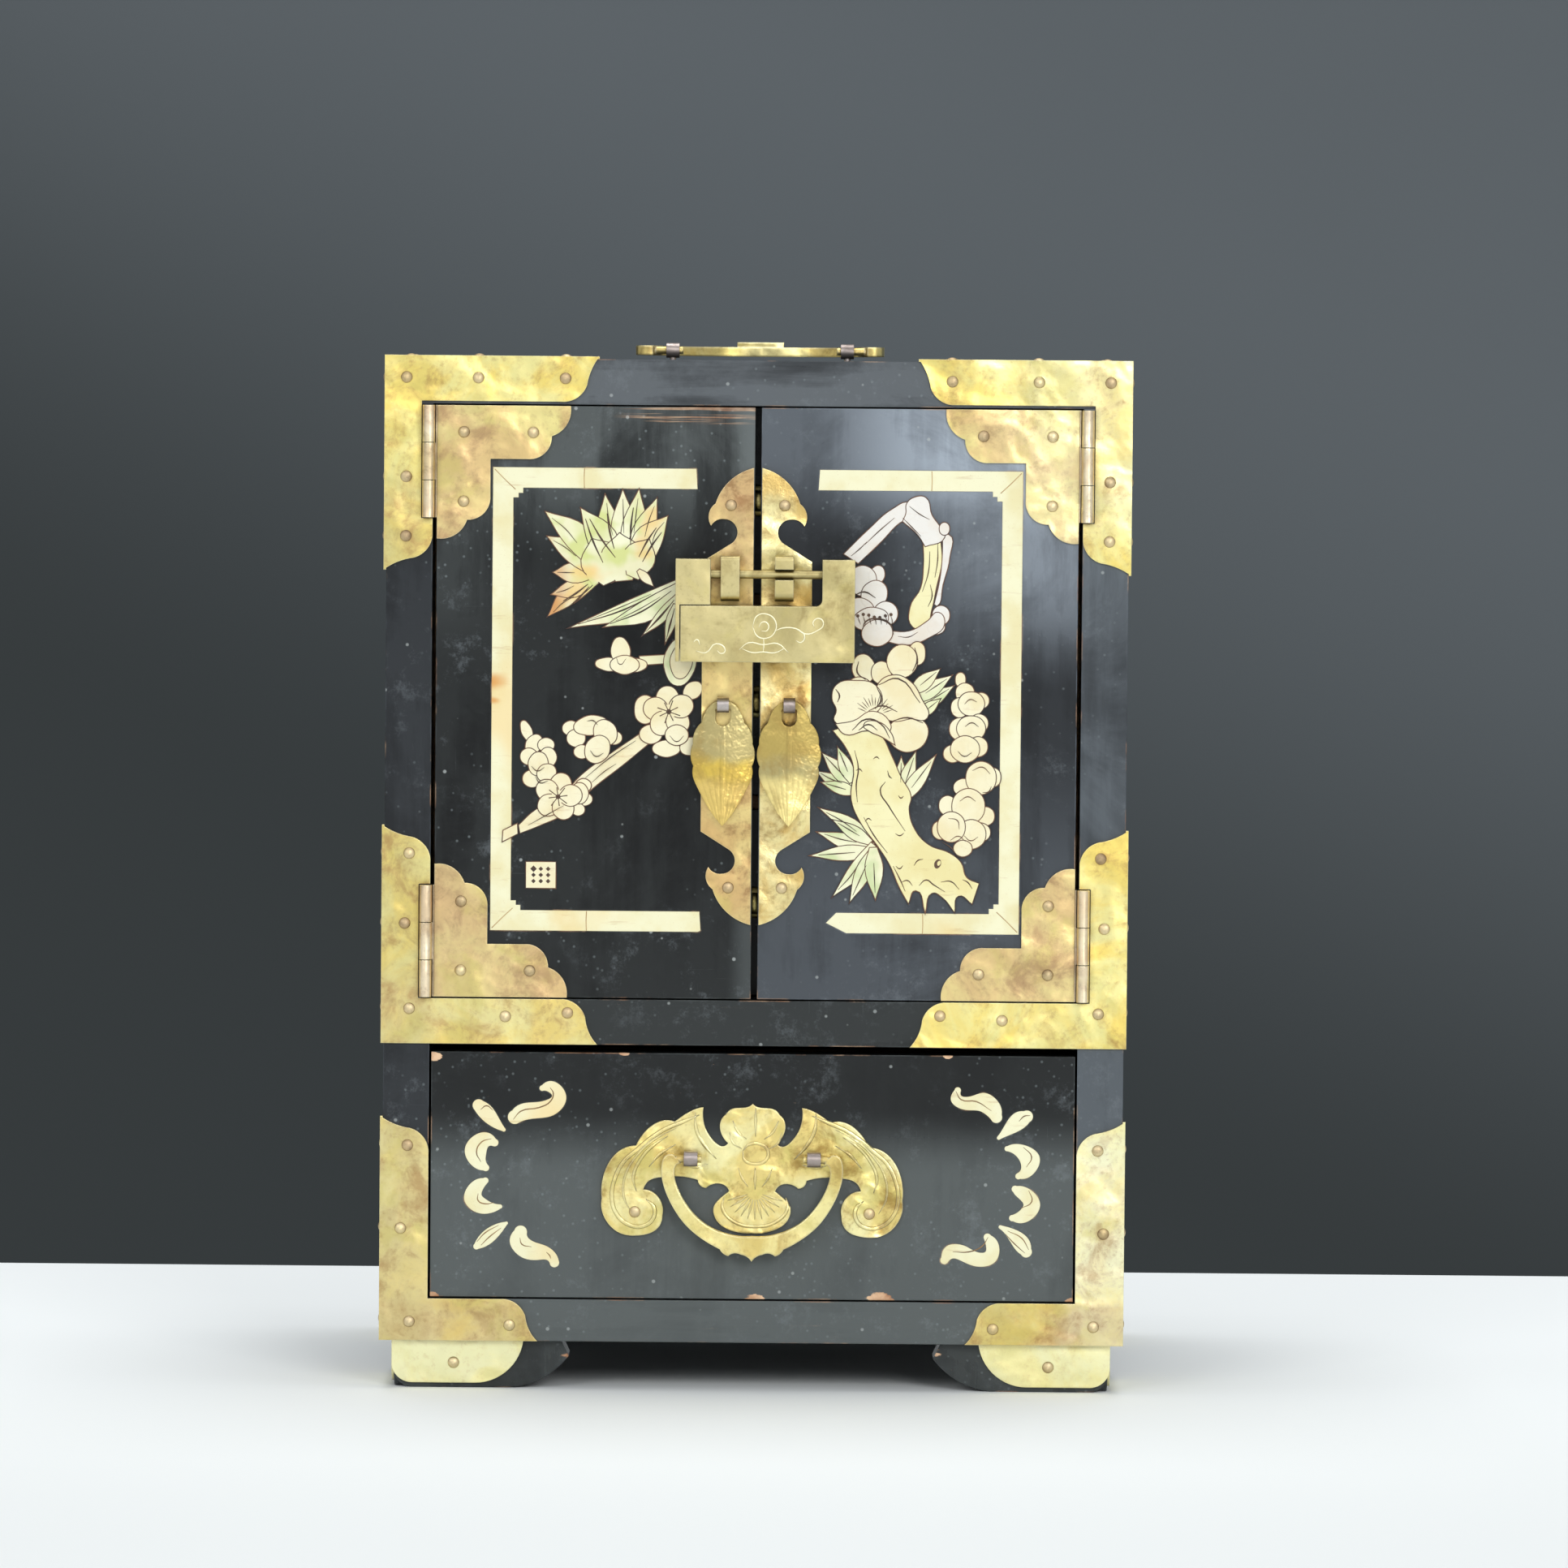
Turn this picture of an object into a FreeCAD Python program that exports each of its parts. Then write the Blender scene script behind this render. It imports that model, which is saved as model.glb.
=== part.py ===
import FreeCAD, Part
import math
import os
import re
import Sketcher

# A small jewelry cabinet of lacquered wood with sheet brass corners, two doors held by a sliding
# bolt lock, three shallow drawers behind the doors and one deep drawer below them.
# X runs to the right, Y to the back and Z up; the origin is on the floor, under the middle.

doc = FreeCAD.newDocument("jewelry_cabinet")

# Driving dimensions in millimetres
SIZES = {
    # outer form
    "width": 230.0,
    "depth": 165.0,
    "sheet": 0.8,
    "foot_height": 15.0,
    "floor_board": 13.0,
    "drawer_bay": 79.0,
    "shelf_board": 14.0,
    "door_bay": 183.2,
    "lid_board": 14.0,
    "side_board": 14.2,
    "back_board": 6.0,
    # doors
    "door_thick": 8.0,
    "door_gap": 2.0,
    "door_side_gap": 1.3,
    "door_end_gap": 0.5,
    # hinges
    "hinge_length": 34.5,
    "barrel_radius": 1.9,
    "barrel_offset": 1.3,
    "barrel_lift": 0.05,
    "knuckle_gap": 0.15,
    "hinge_pin_radius": 0.8,
    "leaf_sheet": 0.5,
    "leaf_depth": 7.0,
    "running_gap": 0.06,
    "free_gap": 0.3,
    # brass corners of the case
    "upper_arm_across": 65.2,
    "upper_arm_down": 65.2,
    "middle_arm_across": 66.0,
    "middle_arm_up": 67.5,
    "lower_arm_across": 48.2,
    "lower_arm_up": 69.5,
    "arm_margin": 0.8,
    "ogee_length": 10.4,
    # nails
    "nail_head_radius": 1.8,
    "nail_head_height": 0.7,
    "nail_shank_radius": 0.6,
    "nail_shank_length": 4.0,
    "nail_inset": 6.0,
    # brass corners of the doors
    "door_corner_arm": 41.0,
    "door_corner_width": 16.4,
    # bone frame let into the doors
    "bone_thick": 0.6,
    "bone_width": 6.3,
    "bone_frame_outer": 81.5,
    "bone_frame_low": 21.1,
    "bone_frame_high": 163.8,
    "bone_step": 1.6,
    "bone_step_length": 3.0,
    "bone_top_end": 18.6,
    "bone_bottom_end_left": 16.6,
    "bone_bottom_end_right": 22.0,
    # lock plates
    "lock_plate_inset": 1.25,
    "lock_plate_width": 15.6,
    "lock_plate_half_height": 70.4,
    "lock_plate_middle": 93.8,
    # sliding bolt lock
    "rod_radius": 1.3,
    "rod_height": 131.6,
    "lock_gap": 2.8,
    "lock_thick": 9.0,
    "lock_left": 25.0,
    "lock_right": 30.0,
    "lock_drop": 26.8,
    "lock_bar_height": 17.2,
    "lock_horn_rise": 4.7,
    "lock_left_horn": 10.7,
    "lock_right_horn": 10.0,
    "lock_wall": 1.5,
    "lock_cap": 1.3,
    "lock_inner_round": 2.0,
    "rod_end_depth": 6.0,
    "tongue_length": 34.7,
    "tongue_height": 9.5,
    "tongue_thick": 4.4,
    "keyhole_width": 2.4,
    "keyhole_height": 6.0,
    # lugs that carry the lock rod
    "lug_width": 5.8,
    "lug_inset": 5.4,
    "lug_above_rod": 5.6,
    "lug_below_rod": 8.2,
    "lug_front": 1.4,
    "lug_tail_height": 5.0,
    "lug_tail_depth": 5.0,
    # leaf pulls
    "pull_inset": 10.2,
    "pull_height": 91.3,
    "pull_length": 37.3,
    "pull_sheet": 1.0,
    "pull_lift": 2.6,
    "pull_bridge": 2.5,
    "pull_eye_radius": 1.45,
    "pull_eye_wall": 0.9,
    "pull_eye_width": 3.6,
    "pull_window_half": 2.3,
    "pull_window_drop": 2.9,
    # bails
    "bail_thick": 2.4,
    "bail_stub_radius": 1.2,
    "drawer_bail_reach": 28.0,
    "drawer_bail_posts": 19.0,
    "drawer_bail_lift": 5.0,
    "top_bail_reach": 39.5,
    "top_bail_posts": 27.7,
    "top_bail_thick": 3.0,
    "top_bail_lift": 3.6,
    "top_bail_boss": 1.6,
    "post_eye_wall": 1.1,
    "post_eye_width": 4.2,
    "post_shank_radius": 1.0,
    "post_shank_length": 7.0,
    # deep drawer
    "drawer_front_thick": 10.0,
    "drawer_low_gap": 0.6,
    "drawer_high_gap": 2.5,
    "drawer_side_gap": 0.7,
    "drawer_tray_gap": 1.5,
    "drawer_back_gap": 9.0,
    "drawer_tray_height": 66.0,
    "drawer_wall": 6.0,
    "drawer_bottom": 4.0,
    "bat_sheet": 1.0,
    "bat_half_width": 46.4,
    "bail_pivot_height": 44.4,
    # shallow drawers behind the doors
    "guide_thick": 15.5,
    "guide_setback": 18.6,
    "divider": 4.0,
    "inner_drawer_gap": 0.4,
    "inner_front_thick": 8.0,
    "inner_back_gap": 10.4,
    "inner_tray_height": 44.0,
    "inner_wall": 5.0,
    "inner_bottom": 3.0,
    "knob_base_radius": 5.0,
    "knob_neck_radius": 1.6,
    "knob_ball_radius": 3.4,
    "knob_reach": 8.4,
    "knob_tail_depth": 5.0,
    # feet
    "foot_inset": 3.8,
    "foot_length": 54.0,
    "foot_thick": 14.0,
    "foot_toe": 20.0,
    "foot_toe_rise": 10.0,
    "foot_round": 5.5,
    "foot_cap_length": 40.0,
    "foot_cap_low": 1.5,
}

sheet = doc.addObject("Spreadsheet::Sheet", "Sizes")
for row, (alias, value) in enumerate(SIZES.items(), start=1):
    sheet.set(f"A{row}", alias)
    sheet.set(f"B{row}", str(value))
    sheet.setAlias(f"B{row}", alias)
doc.recompute()

# Places and sizes that follow from the driving ones
PLACES = {
    "half_wood": "width / 2 - sheet",
    "inner_half": "half_wood - side_board",
    "front": "-(depth - sheet - lock_gap - lock_thick) / 2",
    "back": "front + depth",
    "floor_top": "foot_height + floor_board",
    "shelf_low": "floor_top + drawer_bay",
    "shelf_top": "shelf_low + shelf_board",
    "lid_low": "shelf_top + door_bay",
    "lid_top": "lid_low + lid_board",
    "back_inside": "back - back_board",
    "door_low": "shelf_top + door_end_gap",
    "door_high": "lid_low - door_end_gap",
    "door_outer": "inner_half - door_side_gap",
    "door_inner": "door_gap / 2",
    "axis_x": "inner_half + barrel_offset",
    "axis_y": "front - barrel_radius - barrel_lift",
    "rod_y": "front - sheet - lock_gap - lock_thick / 2",
    "rod_z": "shelf_top + rod_height",
    "bar_low": "rod_z - lock_drop",
    "bar_high": "bar_low + lock_bar_height",
    "horn_high": "rod_z + lock_horn_rise",
    "pull_y": "front - sheet - pull_lift",
    "pull_z": "shelf_top + pull_height",
    "bail_y": "front - drawer_bail_lift",
    "bail_z": "floor_top + bail_pivot_height",
    "top_bail_y": "front + depth / 2",
    "top_bail_z": "lid_top + top_bail_lift",
    "drawer_half": "inner_half - drawer_side_gap",
    "guide_half": "inner_half - guide_thick",
    "guide_front": "front + guide_setback",
    "inner_pitch": "(door_bay - 2 * divider) / 3 + divider",
    "foot_outer": "half_wood - foot_inset",
}


def expand(text):
    """Writes an expression out in full, down to the sheet's cells."""
    def replace(match):
        word = match.group(0)
        if word in SIZES:
            return "Sizes." + word
        if word in PLACES:
            return "(" + expand(PLACES[word]) + ")"
        return word
    return re.sub(r"[A-Za-z_]\w*", replace, str(text))


def size(text):
    """Gives the value of an expression as a number."""
    return float(sheet.evalExpression(expand(text)))


def sided(side, low, high):
    """Gives a span across X on the right side (1), or mirrored on the left side (-1)."""
    if side > 0:
        return low, high
    return f"-({high})", f"-({low})"


SIDE_NAMES = {-1: "left", 1: "right"}
NODES = []


def node(solid, label=None):
    """Marks an object as one of the finished pieces."""
    if label is not None:
        solid.Label = label
    NODES.append(solid)
    return solid


def place(solid, x, y, z):
    """Binds an object's position to the sheet."""
    for axis, text in zip("xyz", (x, y, z)):
        solid.setExpression("Placement.Base." + axis, expand(text))


def box(label, x, y, z):
    """A block between two values on each axis."""
    solid = doc.addObject("Part::Box", label)
    for name, (low, high) in zip(("Length", "Width", "Height"), (x, y, z)):
        solid.setExpression(name, expand(f"({high}) - ({low})"))
    place(solid, x[0], y[0], z[0])
    return solid


TURNS = {
    "x": FreeCAD.Rotation(FreeCAD.Vector(0, 1, 0), 90),
    "y": FreeCAD.Rotation(FreeCAD.Vector(1, 0, 0), -90),
    "z": FreeCAD.Rotation(),
}


def rod(label, axis, start, radius, length):
    """A round bar that runs from a start point along +X, +Y or +Z."""
    solid = doc.addObject("Part::Cylinder", label)
    solid.Placement = FreeCAD.Placement(FreeCAD.Vector(), TURNS[axis])
    solid.setExpression("Radius", expand(radius))
    solid.setExpression("Height", expand(length))
    place(solid, *start)
    return solid


def fuse(label, solids):
    """Joins solids into one."""
    joined = doc.addObject("Part::MultiFuse", label)
    joined.Shapes = solids
    joined.Refine = True
    return joined


def cut(label, base, tool):
    """Takes one object away from another."""
    rest = doc.addObject("Part::Cut", label)
    rest.Base = base
    rest.Tool = tool
    return rest


def group(label, solids):
    """Holds several separate solids as one piece of the list."""
    compound = doc.addObject("Part::Compound", label)
    compound.Links = solids
    return compound


def edge(points):
    """A line through two points, an arc through three or a smooth curve through more."""
    vectors = [FreeCAD.Vector(x, y, 0) for x, y in points]
    if len(vectors) == 2:
        return Part.LineSegment(*vectors)
    if len(vectors) == 3:
        return Part.Arc(*vectors)
    curve = Part.BSplineCurve()
    curve.interpolate(vectors)
    return curve


def runs_through(corners):
    """Turns a list of points and lists of points into edges that follow each other.

    A plain point is reached by a straight line. A list is a curve that starts at the
    point before it, and its last point is where it ends.
    """
    edges = []
    last = corners[0]
    for item in corners[1:]:
        if isinstance(item, tuple):
            edges.append([last, item])
            last = item
        else:
            edges.append([last] + item)
            last = item[-1]
    return edges


def add_sketch(body, name, role, edges):
    """Draws closed edges on one of the body's own planes."""
    sketch = body.newObject("Sketcher::SketchObject", name)
    plane = [item for item in body.Origin.OriginFeatures if item.Role == role][0]
    sketch.AttachmentSupport = [(plane, "")]
    sketch.MapMode = "FlatFace"
    order = []
    for index, points in enumerate(edges):
        sketch.addGeometry(edge(points), False)
        start = FreeCAD.Vector(*points[0], 0)
        forward = sketch.getPoint(index, 1).distanceToPoint(start) < 0.001
        order.append((1, 2) if forward else (2, 1))
    for index, (first, last) in enumerate(order):
        following = (index + 1) % len(order)
        sketch.addConstraint(
            Sketcher.Constraint("Coincident", index, last, following, order[following][0]))
    return sketch


def add_pad(body, sketch, thickness, reverse=False):
    """Gives a sketch its thickness, bound to the sheet."""
    pad = body.newObject("PartDesign::Pad", sketch.Name + "_pad")
    pad.Profile = sketch
    pad.Reversed = reverse
    pad.setExpression("Length", expand(thickness))
    body.Tip = pad
    return pad


def sheet_piece(label, role, edges, thickness, base):
    """A flat piece with a drawn outline: fronts grow to -Y, sides to +X and tops to +Z."""
    body = doc.addObject("PartDesign::Body", label)
    sketch = add_sketch(body, label + "_outline", role, edges)
    add_pad(body, sketch, thickness)
    place(body, *base)
    return body


def rectangle_piece(label, x, z, y_back, thickness):
    """An upright panel, drawn from two bound sizes and padded towards the front."""
    body = doc.addObject("PartDesign::Body", label)
    wide = size(f"({x[1]}) - ({x[0]})")
    tall = size(f"({z[1]}) - ({z[0]})")
    corners = [(0, 0), (wide, 0), (wide, tall), (0, tall), (0, 0)]
    sketch = add_sketch(body, label + "_outline", "XZ_Plane", runs_through(corners))
    sketch.addConstraint(Sketcher.Constraint("Coincident", 0, 1, -1, 1))
    sketch.addConstraint(Sketcher.Constraint("Horizontal", 0))
    sketch.addConstraint(Sketcher.Constraint("Vertical", 1))
    sketch.addConstraint(Sketcher.Constraint("Horizontal", 2))
    sketch.addConstraint(Sketcher.Constraint("Vertical", 3))
    across = sketch.addConstraint(Sketcher.Constraint("DistanceX", 0, 1, 0, 2, wide))
    upward = sketch.addConstraint(Sketcher.Constraint("DistanceY", 1, 1, 1, 2, tall))
    sketch.renameConstraint(across, "panel_width")
    sketch.renameConstraint(upward, "panel_height")
    sketch.setExpression("Constraints.panel_width", expand(f"({x[1]}) - ({x[0]})"))
    sketch.setExpression("Constraints.panel_height", expand(f"({z[1]}) - ({z[0]})"))
    add_pad(body, sketch, thickness)
    place(body, x[0], y_back, z[0])
    return body


def mirrored(corners):
    """Mirrors a list for runs_through across the upright axis."""
    result = []
    for item in corners:
        if isinstance(item, tuple):
            result.append((-item[0], item[1]))
        else:
            result.append([(-x, y) for x, y in item])
    return result


def symmetric(half):
    """Closes a half outline, which runs down the right side, with its mirrored left side.

    The half starts and ends on the upright axis, and its items are as for runs_through.
    """
    edges = runs_through(half)
    other = [[(-x, y) for x, y in reversed(points)] for points in reversed(edges)]
    return edges + other


def stroke_outline(spine):
    """The rim of a hand-cut stroke: its spine is a list of points with half widths."""
    left = []
    right = []
    for index, (x, z, half) in enumerate(spine):
        before = spine[max(index - 1, 0)]
        after = spine[min(index + 1, len(spine) - 1)]
        along = math.atan2(after[1] - before[1], after[0] - before[0])
        left.append((x - half * math.sin(along), z + half * math.cos(along)))
        right.append((x + half * math.sin(along), z - half * math.cos(along)))
    return left, right


def stroke_solid(spine, y_front, thick):
    """A stroke of bone: two smooth long sides joined by round ends."""
    left, right = stroke_outline(spine)
    ends = []
    for here, inward in ((spine[-1], spine[-2]), (spine[0], spine[1])):
        along = math.atan2(here[1] - inward[1], here[0] - inward[0])
        ends.append((here[0] + here[2] * math.cos(along), here[1] + here[2] * math.sin(along)))
    rim = [left, [left[-1], ends[0], right[-1]], right[::-1], [right[0], ends[1], left[0]]]
    edges = []
    for points in rim:
        edges.append(edge([(x, z) for x, z in points]).toShape())
    face = Part.Face(Part.Wire(edges))
    face.rotate(FreeCAD.Vector(), FreeCAD.Vector(1, 0, 0), 90)
    face.translate(FreeCAD.Vector(0, y_front, 0))
    return face.extrude(FreeCAD.Vector(0, thick, 0))


# Nails: a domed head that lies on the brass and a shank driven into the wood
def nail_shape():
    head = size("nail_head_radius")
    rise = size("nail_head_height")
    length = size("nail_shank_length + sheet")
    ball = (head ** 2 + rise ** 2) / (2 * rise)
    middle = FreeCAD.Vector(0, 0, rise - ball)
    up = FreeCAD.Vector(0, 0, 1)
    rim = math.degrees(math.asin((ball - rise) / ball))
    dome = Part.makeSphere(ball, middle, up, rim, 90, 360)
    shank = Part.makeCylinder(
        size("nail_shank_radius"), length + rise / 2, FreeCAD.Vector(0, 0, -length), up)
    return dome.fuse(shank).removeSplitter()


NAIL = nail_shape()
OUTWARD = {
    "front": FreeCAD.Vector(0, -1, 0),
    "left": FreeCAD.Vector(-1, 0, 0),
    "right": FreeCAD.Vector(1, 0, 0),
    "top": FreeCAD.Vector(0, 0, 1),
}


def nails(label, places):
    """Nails at places given as a point on the outer brass face and the way the face looks."""
    solids = []
    for point, facing in places:
        turn = FreeCAD.Rotation(FreeCAD.Vector(0, 0, 1), OUTWARD[facing])
        solid = NAIL.copy()
        solid.Placement = FreeCAD.Placement(FreeCAD.Vector(*point), turn)
        solids.append(solid)
    piece = doc.addObject("Part::Feature", label)
    piece.Shape = Part.makeCompound(solids)
    piece.Placement = FreeCAD.Placement()
    return piece


# Brass corners of the case: L-shaped sheet with ogee ends, folded round the front and sides
def ogee(length, width, outer=0.0):
    """An arm's end, from its outer tip back to its inner edge, as (along, across) points."""
    back = size("ogee_length")
    return [
        [(length - 0.25 * back, 0.28 * width), (length - 0.36 * back, 0.6 * width)],
        [(length - 0.61 * back, 0.88 * width), (length - back, width)],
    ]


def corner_outline(across, along, across_width, along_width, rim, notch=0.0, notch_edge=0.0):
    """An L from its outer corner: the first arm lies along u, the second one along w.

    across_width is the first arm's width in w and along_width the second arm's in u. rim is
    how far both outer edges stand past the wood: (in u, in w). notch is the length that is
    cut from the second arm's inner edge, back to notch_edge.
    """
    rim_u, rim_w = rim
    first_end = [[(a, w) for a, w in item] for item in ogee(across, across_width)]
    second_end = [[(w, a) for a, w in item] for item in ogee(along, along_width)]
    second_back = [
        [second_end[1][0], second_end[0][1]],
        [second_end[0][0], (-rim_u, along)],
    ]
    corners = [(-rim_u, -rim_w), (across, -rim_w)] + first_end
    if notch > 0:
        corners += [(notch_edge, across_width), (notch_edge, across_width + notch)]
        corners += [(along_width, across_width + notch)]
    else:
        corners += [(along_width, across_width)]
    corners += [second_end[1][1]] + second_back + [(-rim_u, -rim_w)]
    return corners


def scaled(corners, factor_x, factor_y):
    """Scales a list for runs_through, which also turns an outline over."""
    result = []
    for item in corners:
        if isinstance(item, tuple):
            result.append((item[0] * factor_x, item[1] * factor_y))
        else:
            result.append([(x * factor_x, y * factor_y) for x, y in item])
    return result


def case_corner(name, side, height, arms, arm_width, upward, hinged, lid):
    """One brass corner: front and side sheets, with a third sheet on top of the lid."""
    label = f"bracket_{name}_{SIDE_NAMES[side]}"
    across, along = (size(text) for text in arms)
    post = size("side_board")
    rim = size("sheet")
    wide = size(arm_width)
    top_rim = rim if lid else 0.0
    notch = size("hinge_length + door_end_gap + free_gap") + (size("arm_margin") if lid else 0.0)
    notch_edge = size("half_wood - axis_x - barrel_radius - free_gap")
    body = doc.addObject("PartDesign::Body", label + "_blank")
    if hinged:
        outline = corner_outline(across, along, wide, post, (rim, top_rim), notch, notch_edge)
    else:
        outline = corner_outline(across, along, wide, post, (rim, top_rim))
    face = add_sketch(body, label + "_face", "XZ_Plane", runs_through(scaled(outline, -side, upward)))
    add_pad(body, face, "sheet")
    wing = corner_outline(across, along, wide, post, (rim, top_rim))
    flank = add_sketch(body, label + "_flank", "YZ_Plane", runs_through(scaled(wing, 1, upward)))
    add_pad(body, flank, "sheet", reverse=side < 0)
    if lid:
        cover = corner_outline(across, along, post, post, (rim, rim))
        roof = add_sketch(body, label + "_roof", "XY_Plane", runs_through(scaled(cover, -side, 1)))
        add_pad(body, roof, "sheet")
    place(body, f"{side} * half_wood", "front", height)
    return body


CORNERS = {
    "upper": ("lid_top", ("upper_arm_across", "upper_arm_down"), "lid_board - arm_margin", -1),
    "middle": ("shelf_low", ("middle_arm_across", "middle_arm_up"), "shelf_board", 1),
    "lower": ("foot_height", ("lower_arm_across", "lower_arm_up"), "floor_board", 1),
}
# Places of the nails in from a corner's outer edges: across and up or down
CORNER_NAILS = {
    "upper": (("nail_inset", "nail_inset"), ("upper_arm_across * 0.43", "nail_inset"),
              ("upper_arm_across * 0.84", "nail_inset"), ("nail_inset", "upper_arm_down * 0.56"),
              ("nail_inset", "upper_arm_down * 0.84")),
    "middle": (("side_board * 0.56", "shelf_board * 0.77"),
               ("middle_arm_across * 0.57", "shelf_board * 0.61"),
               ("middle_arm_across * 0.86", "shelf_board * 0.7"),
               ("side_board * 0.45", "middle_arm_up * 0.55"),
               ("side_board * 0.54", "middle_arm_up * 0.87")),
    "lower": (("side_board * 0.6", "floor_board * 0.45"),
              ("lower_arm_across * 0.82", "floor_board * 0.38"),
              ("side_board * 0.4", "lower_arm_up * 0.5"),
              ("side_board * 0.54", "lower_arm_up * 0.87")),
}


def corner_nail_places(name, side):
    """Nails of one case corner, on its front, its flank and, on the lid, its roof."""
    height, arms, arm_width, upward = CORNERS[name]
    edge_x = size("half_wood")
    front = size("front")
    rim = size("sheet")
    corner_z = size(height)
    found = []
    for across, along in CORNER_NAILS[name]:
        u = size(across)
        w = size(along)
        z = corner_z + upward * w
        found.append(((side * (edge_x - u), front - rim, z), "front"))
        found.append(((side * (edge_x + rim), front + u, z), SIDE_NAMES[side]))
        if name == "upper" and u > w:
            found.append(((side * (edge_x - u), front + w, corner_z + rim), "top"))
            found.append(((side * (edge_x - w), front + u, corner_z + rim), "top"))
    return found


# Feet: corner feet of two mitred legs with a rounded toe, and a brass cap outside
def bend_middle(level, end):
    """The middle of an arc that is level where it starts and bends up to its end."""
    run = end[0] - level[0]
    rise = end[1] - level[1]
    radius = (run ** 2 + rise ** 2) / (2 * rise)
    half = math.atan2(run, radius - rise) / 2
    return level[0] + radius * math.sin(half), level[1] + radius * (1 - math.cos(half))


def foot_profile():
    """The side view of a leg from its outer edge: u inwards and w up."""
    length = size("foot_length")
    toe = size("foot_toe")
    rise = size("foot_toe_rise")
    high = size("foot_height")
    bend = size("foot_round")
    heel = (bend, 0)
    sole_end = (length - toe, 0)
    tip = (length, rise)
    return [
        heel, sole_end, [bend_middle(sole_end, tip), tip],
        (length - 0.12 * toe, high), (0, high), (0, bend), [bend_middle(heel, (0, bend)), heel],
    ]


def foot(side, end):
    """One corner foot: end is -1 at the front and 1 at the back."""
    label = f"foot_{'front' if end < 0 else 'back'}_{SIDE_NAMES[side]}"
    body = doc.addObject("PartDesign::Body", label + "_blank")
    profile = foot_profile()
    leg = add_sketch(body, label + "_leg", "XZ_Plane", runs_through(scaled(profile, -side, 1)))
    add_pad(body, leg, "foot_thick", reverse=end < 0)
    flank = add_sketch(body, label + "_flank", "YZ_Plane", runs_through(scaled(profile, -end, 1)))
    add_pad(body, flank, "foot_thick", reverse=side > 0)
    y_text = "front + foot_inset" if end < 0 else "back - foot_inset"
    place(body, f"{side} * foot_outer", y_text, "0")
    return body, label


def foot_cap(side, end):
    """Brass sheet round the outer part of a foot, curved along its lower edge."""
    label = f"foot_cap_{'front' if end < 0 else 'back'}_{SIDE_NAMES[side]}"
    rim = size("sheet")
    length = size("foot_cap_length")
    low = size("foot_cap_low")
    high = size("foot_height")
    bend = size("foot_round")
    far = (length, high)
    curve_end = (length - high, low)
    heel = (bend, low)
    edge_low = (-rim, low + bend)
    outline = [
        (-rim, high), far, [bend_middle(curve_end, far), curve_end],
        heel, [bend_middle(heel, edge_low), edge_low], (-rim, high),
    ]
    body = doc.addObject("PartDesign::Body", label + "_blank")
    face = add_sketch(body, label + "_face", "XZ_Plane", runs_through(scaled(outline, -side, 1)))
    add_pad(body, face, "sheet", reverse=end > 0)
    flank = add_sketch(body, label + "_flank", "YZ_Plane", runs_through(scaled(outline, -end, 1)))
    add_pad(body, flank, "sheet", reverse=side < 0)
    y_text = "front + foot_inset" if end < 0 else "back - foot_inset"
    place(body, f"{side} * foot_outer", y_text, "0")
    return body


def foot_nail_places(side, end):
    """One nail on each outer face of a foot cap."""
    rim = size("sheet")
    outer = size("foot_outer")
    y_edge = size("front + foot_inset") if end < 0 else size("back - foot_inset")
    along = size("foot_cap_length") * 0.46
    z = size("foot_height") * 0.52
    found = [((side * (outer + rim), y_edge - end * along, z), SIDE_NAMES[side])]
    if end < 0:
        found.append(((side * (outer - along), y_edge - rim, z), "front"))
    return found


corner_places = []
for corner_name in CORNERS:
    for side in (-1, 1):
        corner_places += corner_nail_places(corner_name, side)
for side in (-1, 1):
    for end in (-1, 1):
        corner_places += foot_nail_places(side, end)
frame_nails = nails("frame_nails", corner_places)

# Posts of the handles: an eye at the end of a shank
def post(label, axis_point, inward, eye_radius, wall, width, shank_radius, shank_length):
    """An eye round a bar along X, and a shank that runs from it into the wood."""
    x, y, z = axis_point
    eye = rod(label + "_eye", "x", (f"{x} - {width} / 2", y, z), f"{eye_radius} + {wall}", width)
    if inward == "y":
        start = (x, f"{y} + {eye_radius} + {wall} / 2", z)
        shank = rod(label + "_shank", "y", start, shank_radius, shank_length)
    else:
        start = (x, y, f"{z} - {eye_radius} - {wall} / 2 - {shank_length}")
        shank = rod(label + "_shank", "z", start, shank_radius, shank_length)
    bore = rod(label + "_bore", "x", (f"{x} - {width}", y, z), eye_radius, f"2 * {width}")
    return cut(label, fuse(label + "_joined", [eye, shank]), bore)


STUB_EYE = "(bail_stub_radius + running_gap)"
top_posts = []
for side in (-1, 1):
    top_posts.append(post(
        f"top_post_{SIDE_NAMES[side]}", (f"{side} * top_bail_posts", "top_bail_y", "top_bail_z"),
        "z", STUB_EYE, "post_eye_wall", "post_eye_width", "post_shank_radius",
        "(post_shank_length + top_bail_lift)"))
top_handle_posts = node(group("top_handle_posts", top_posts))

drawer_posts = []
for side in (-1, 1):
    drawer_posts.append(post(
        f"drawer_post_{SIDE_NAMES[side]}", (f"{side} * drawer_bail_posts", "bail_y", "bail_z"),
        "y", STUB_EYE, "post_eye_wall", "post_eye_width", "post_shank_radius",
        "(post_shank_length + drawer_bail_lift)"))
drawer_handle_posts = node(group("drawer_handle_posts", drawer_posts))

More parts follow.
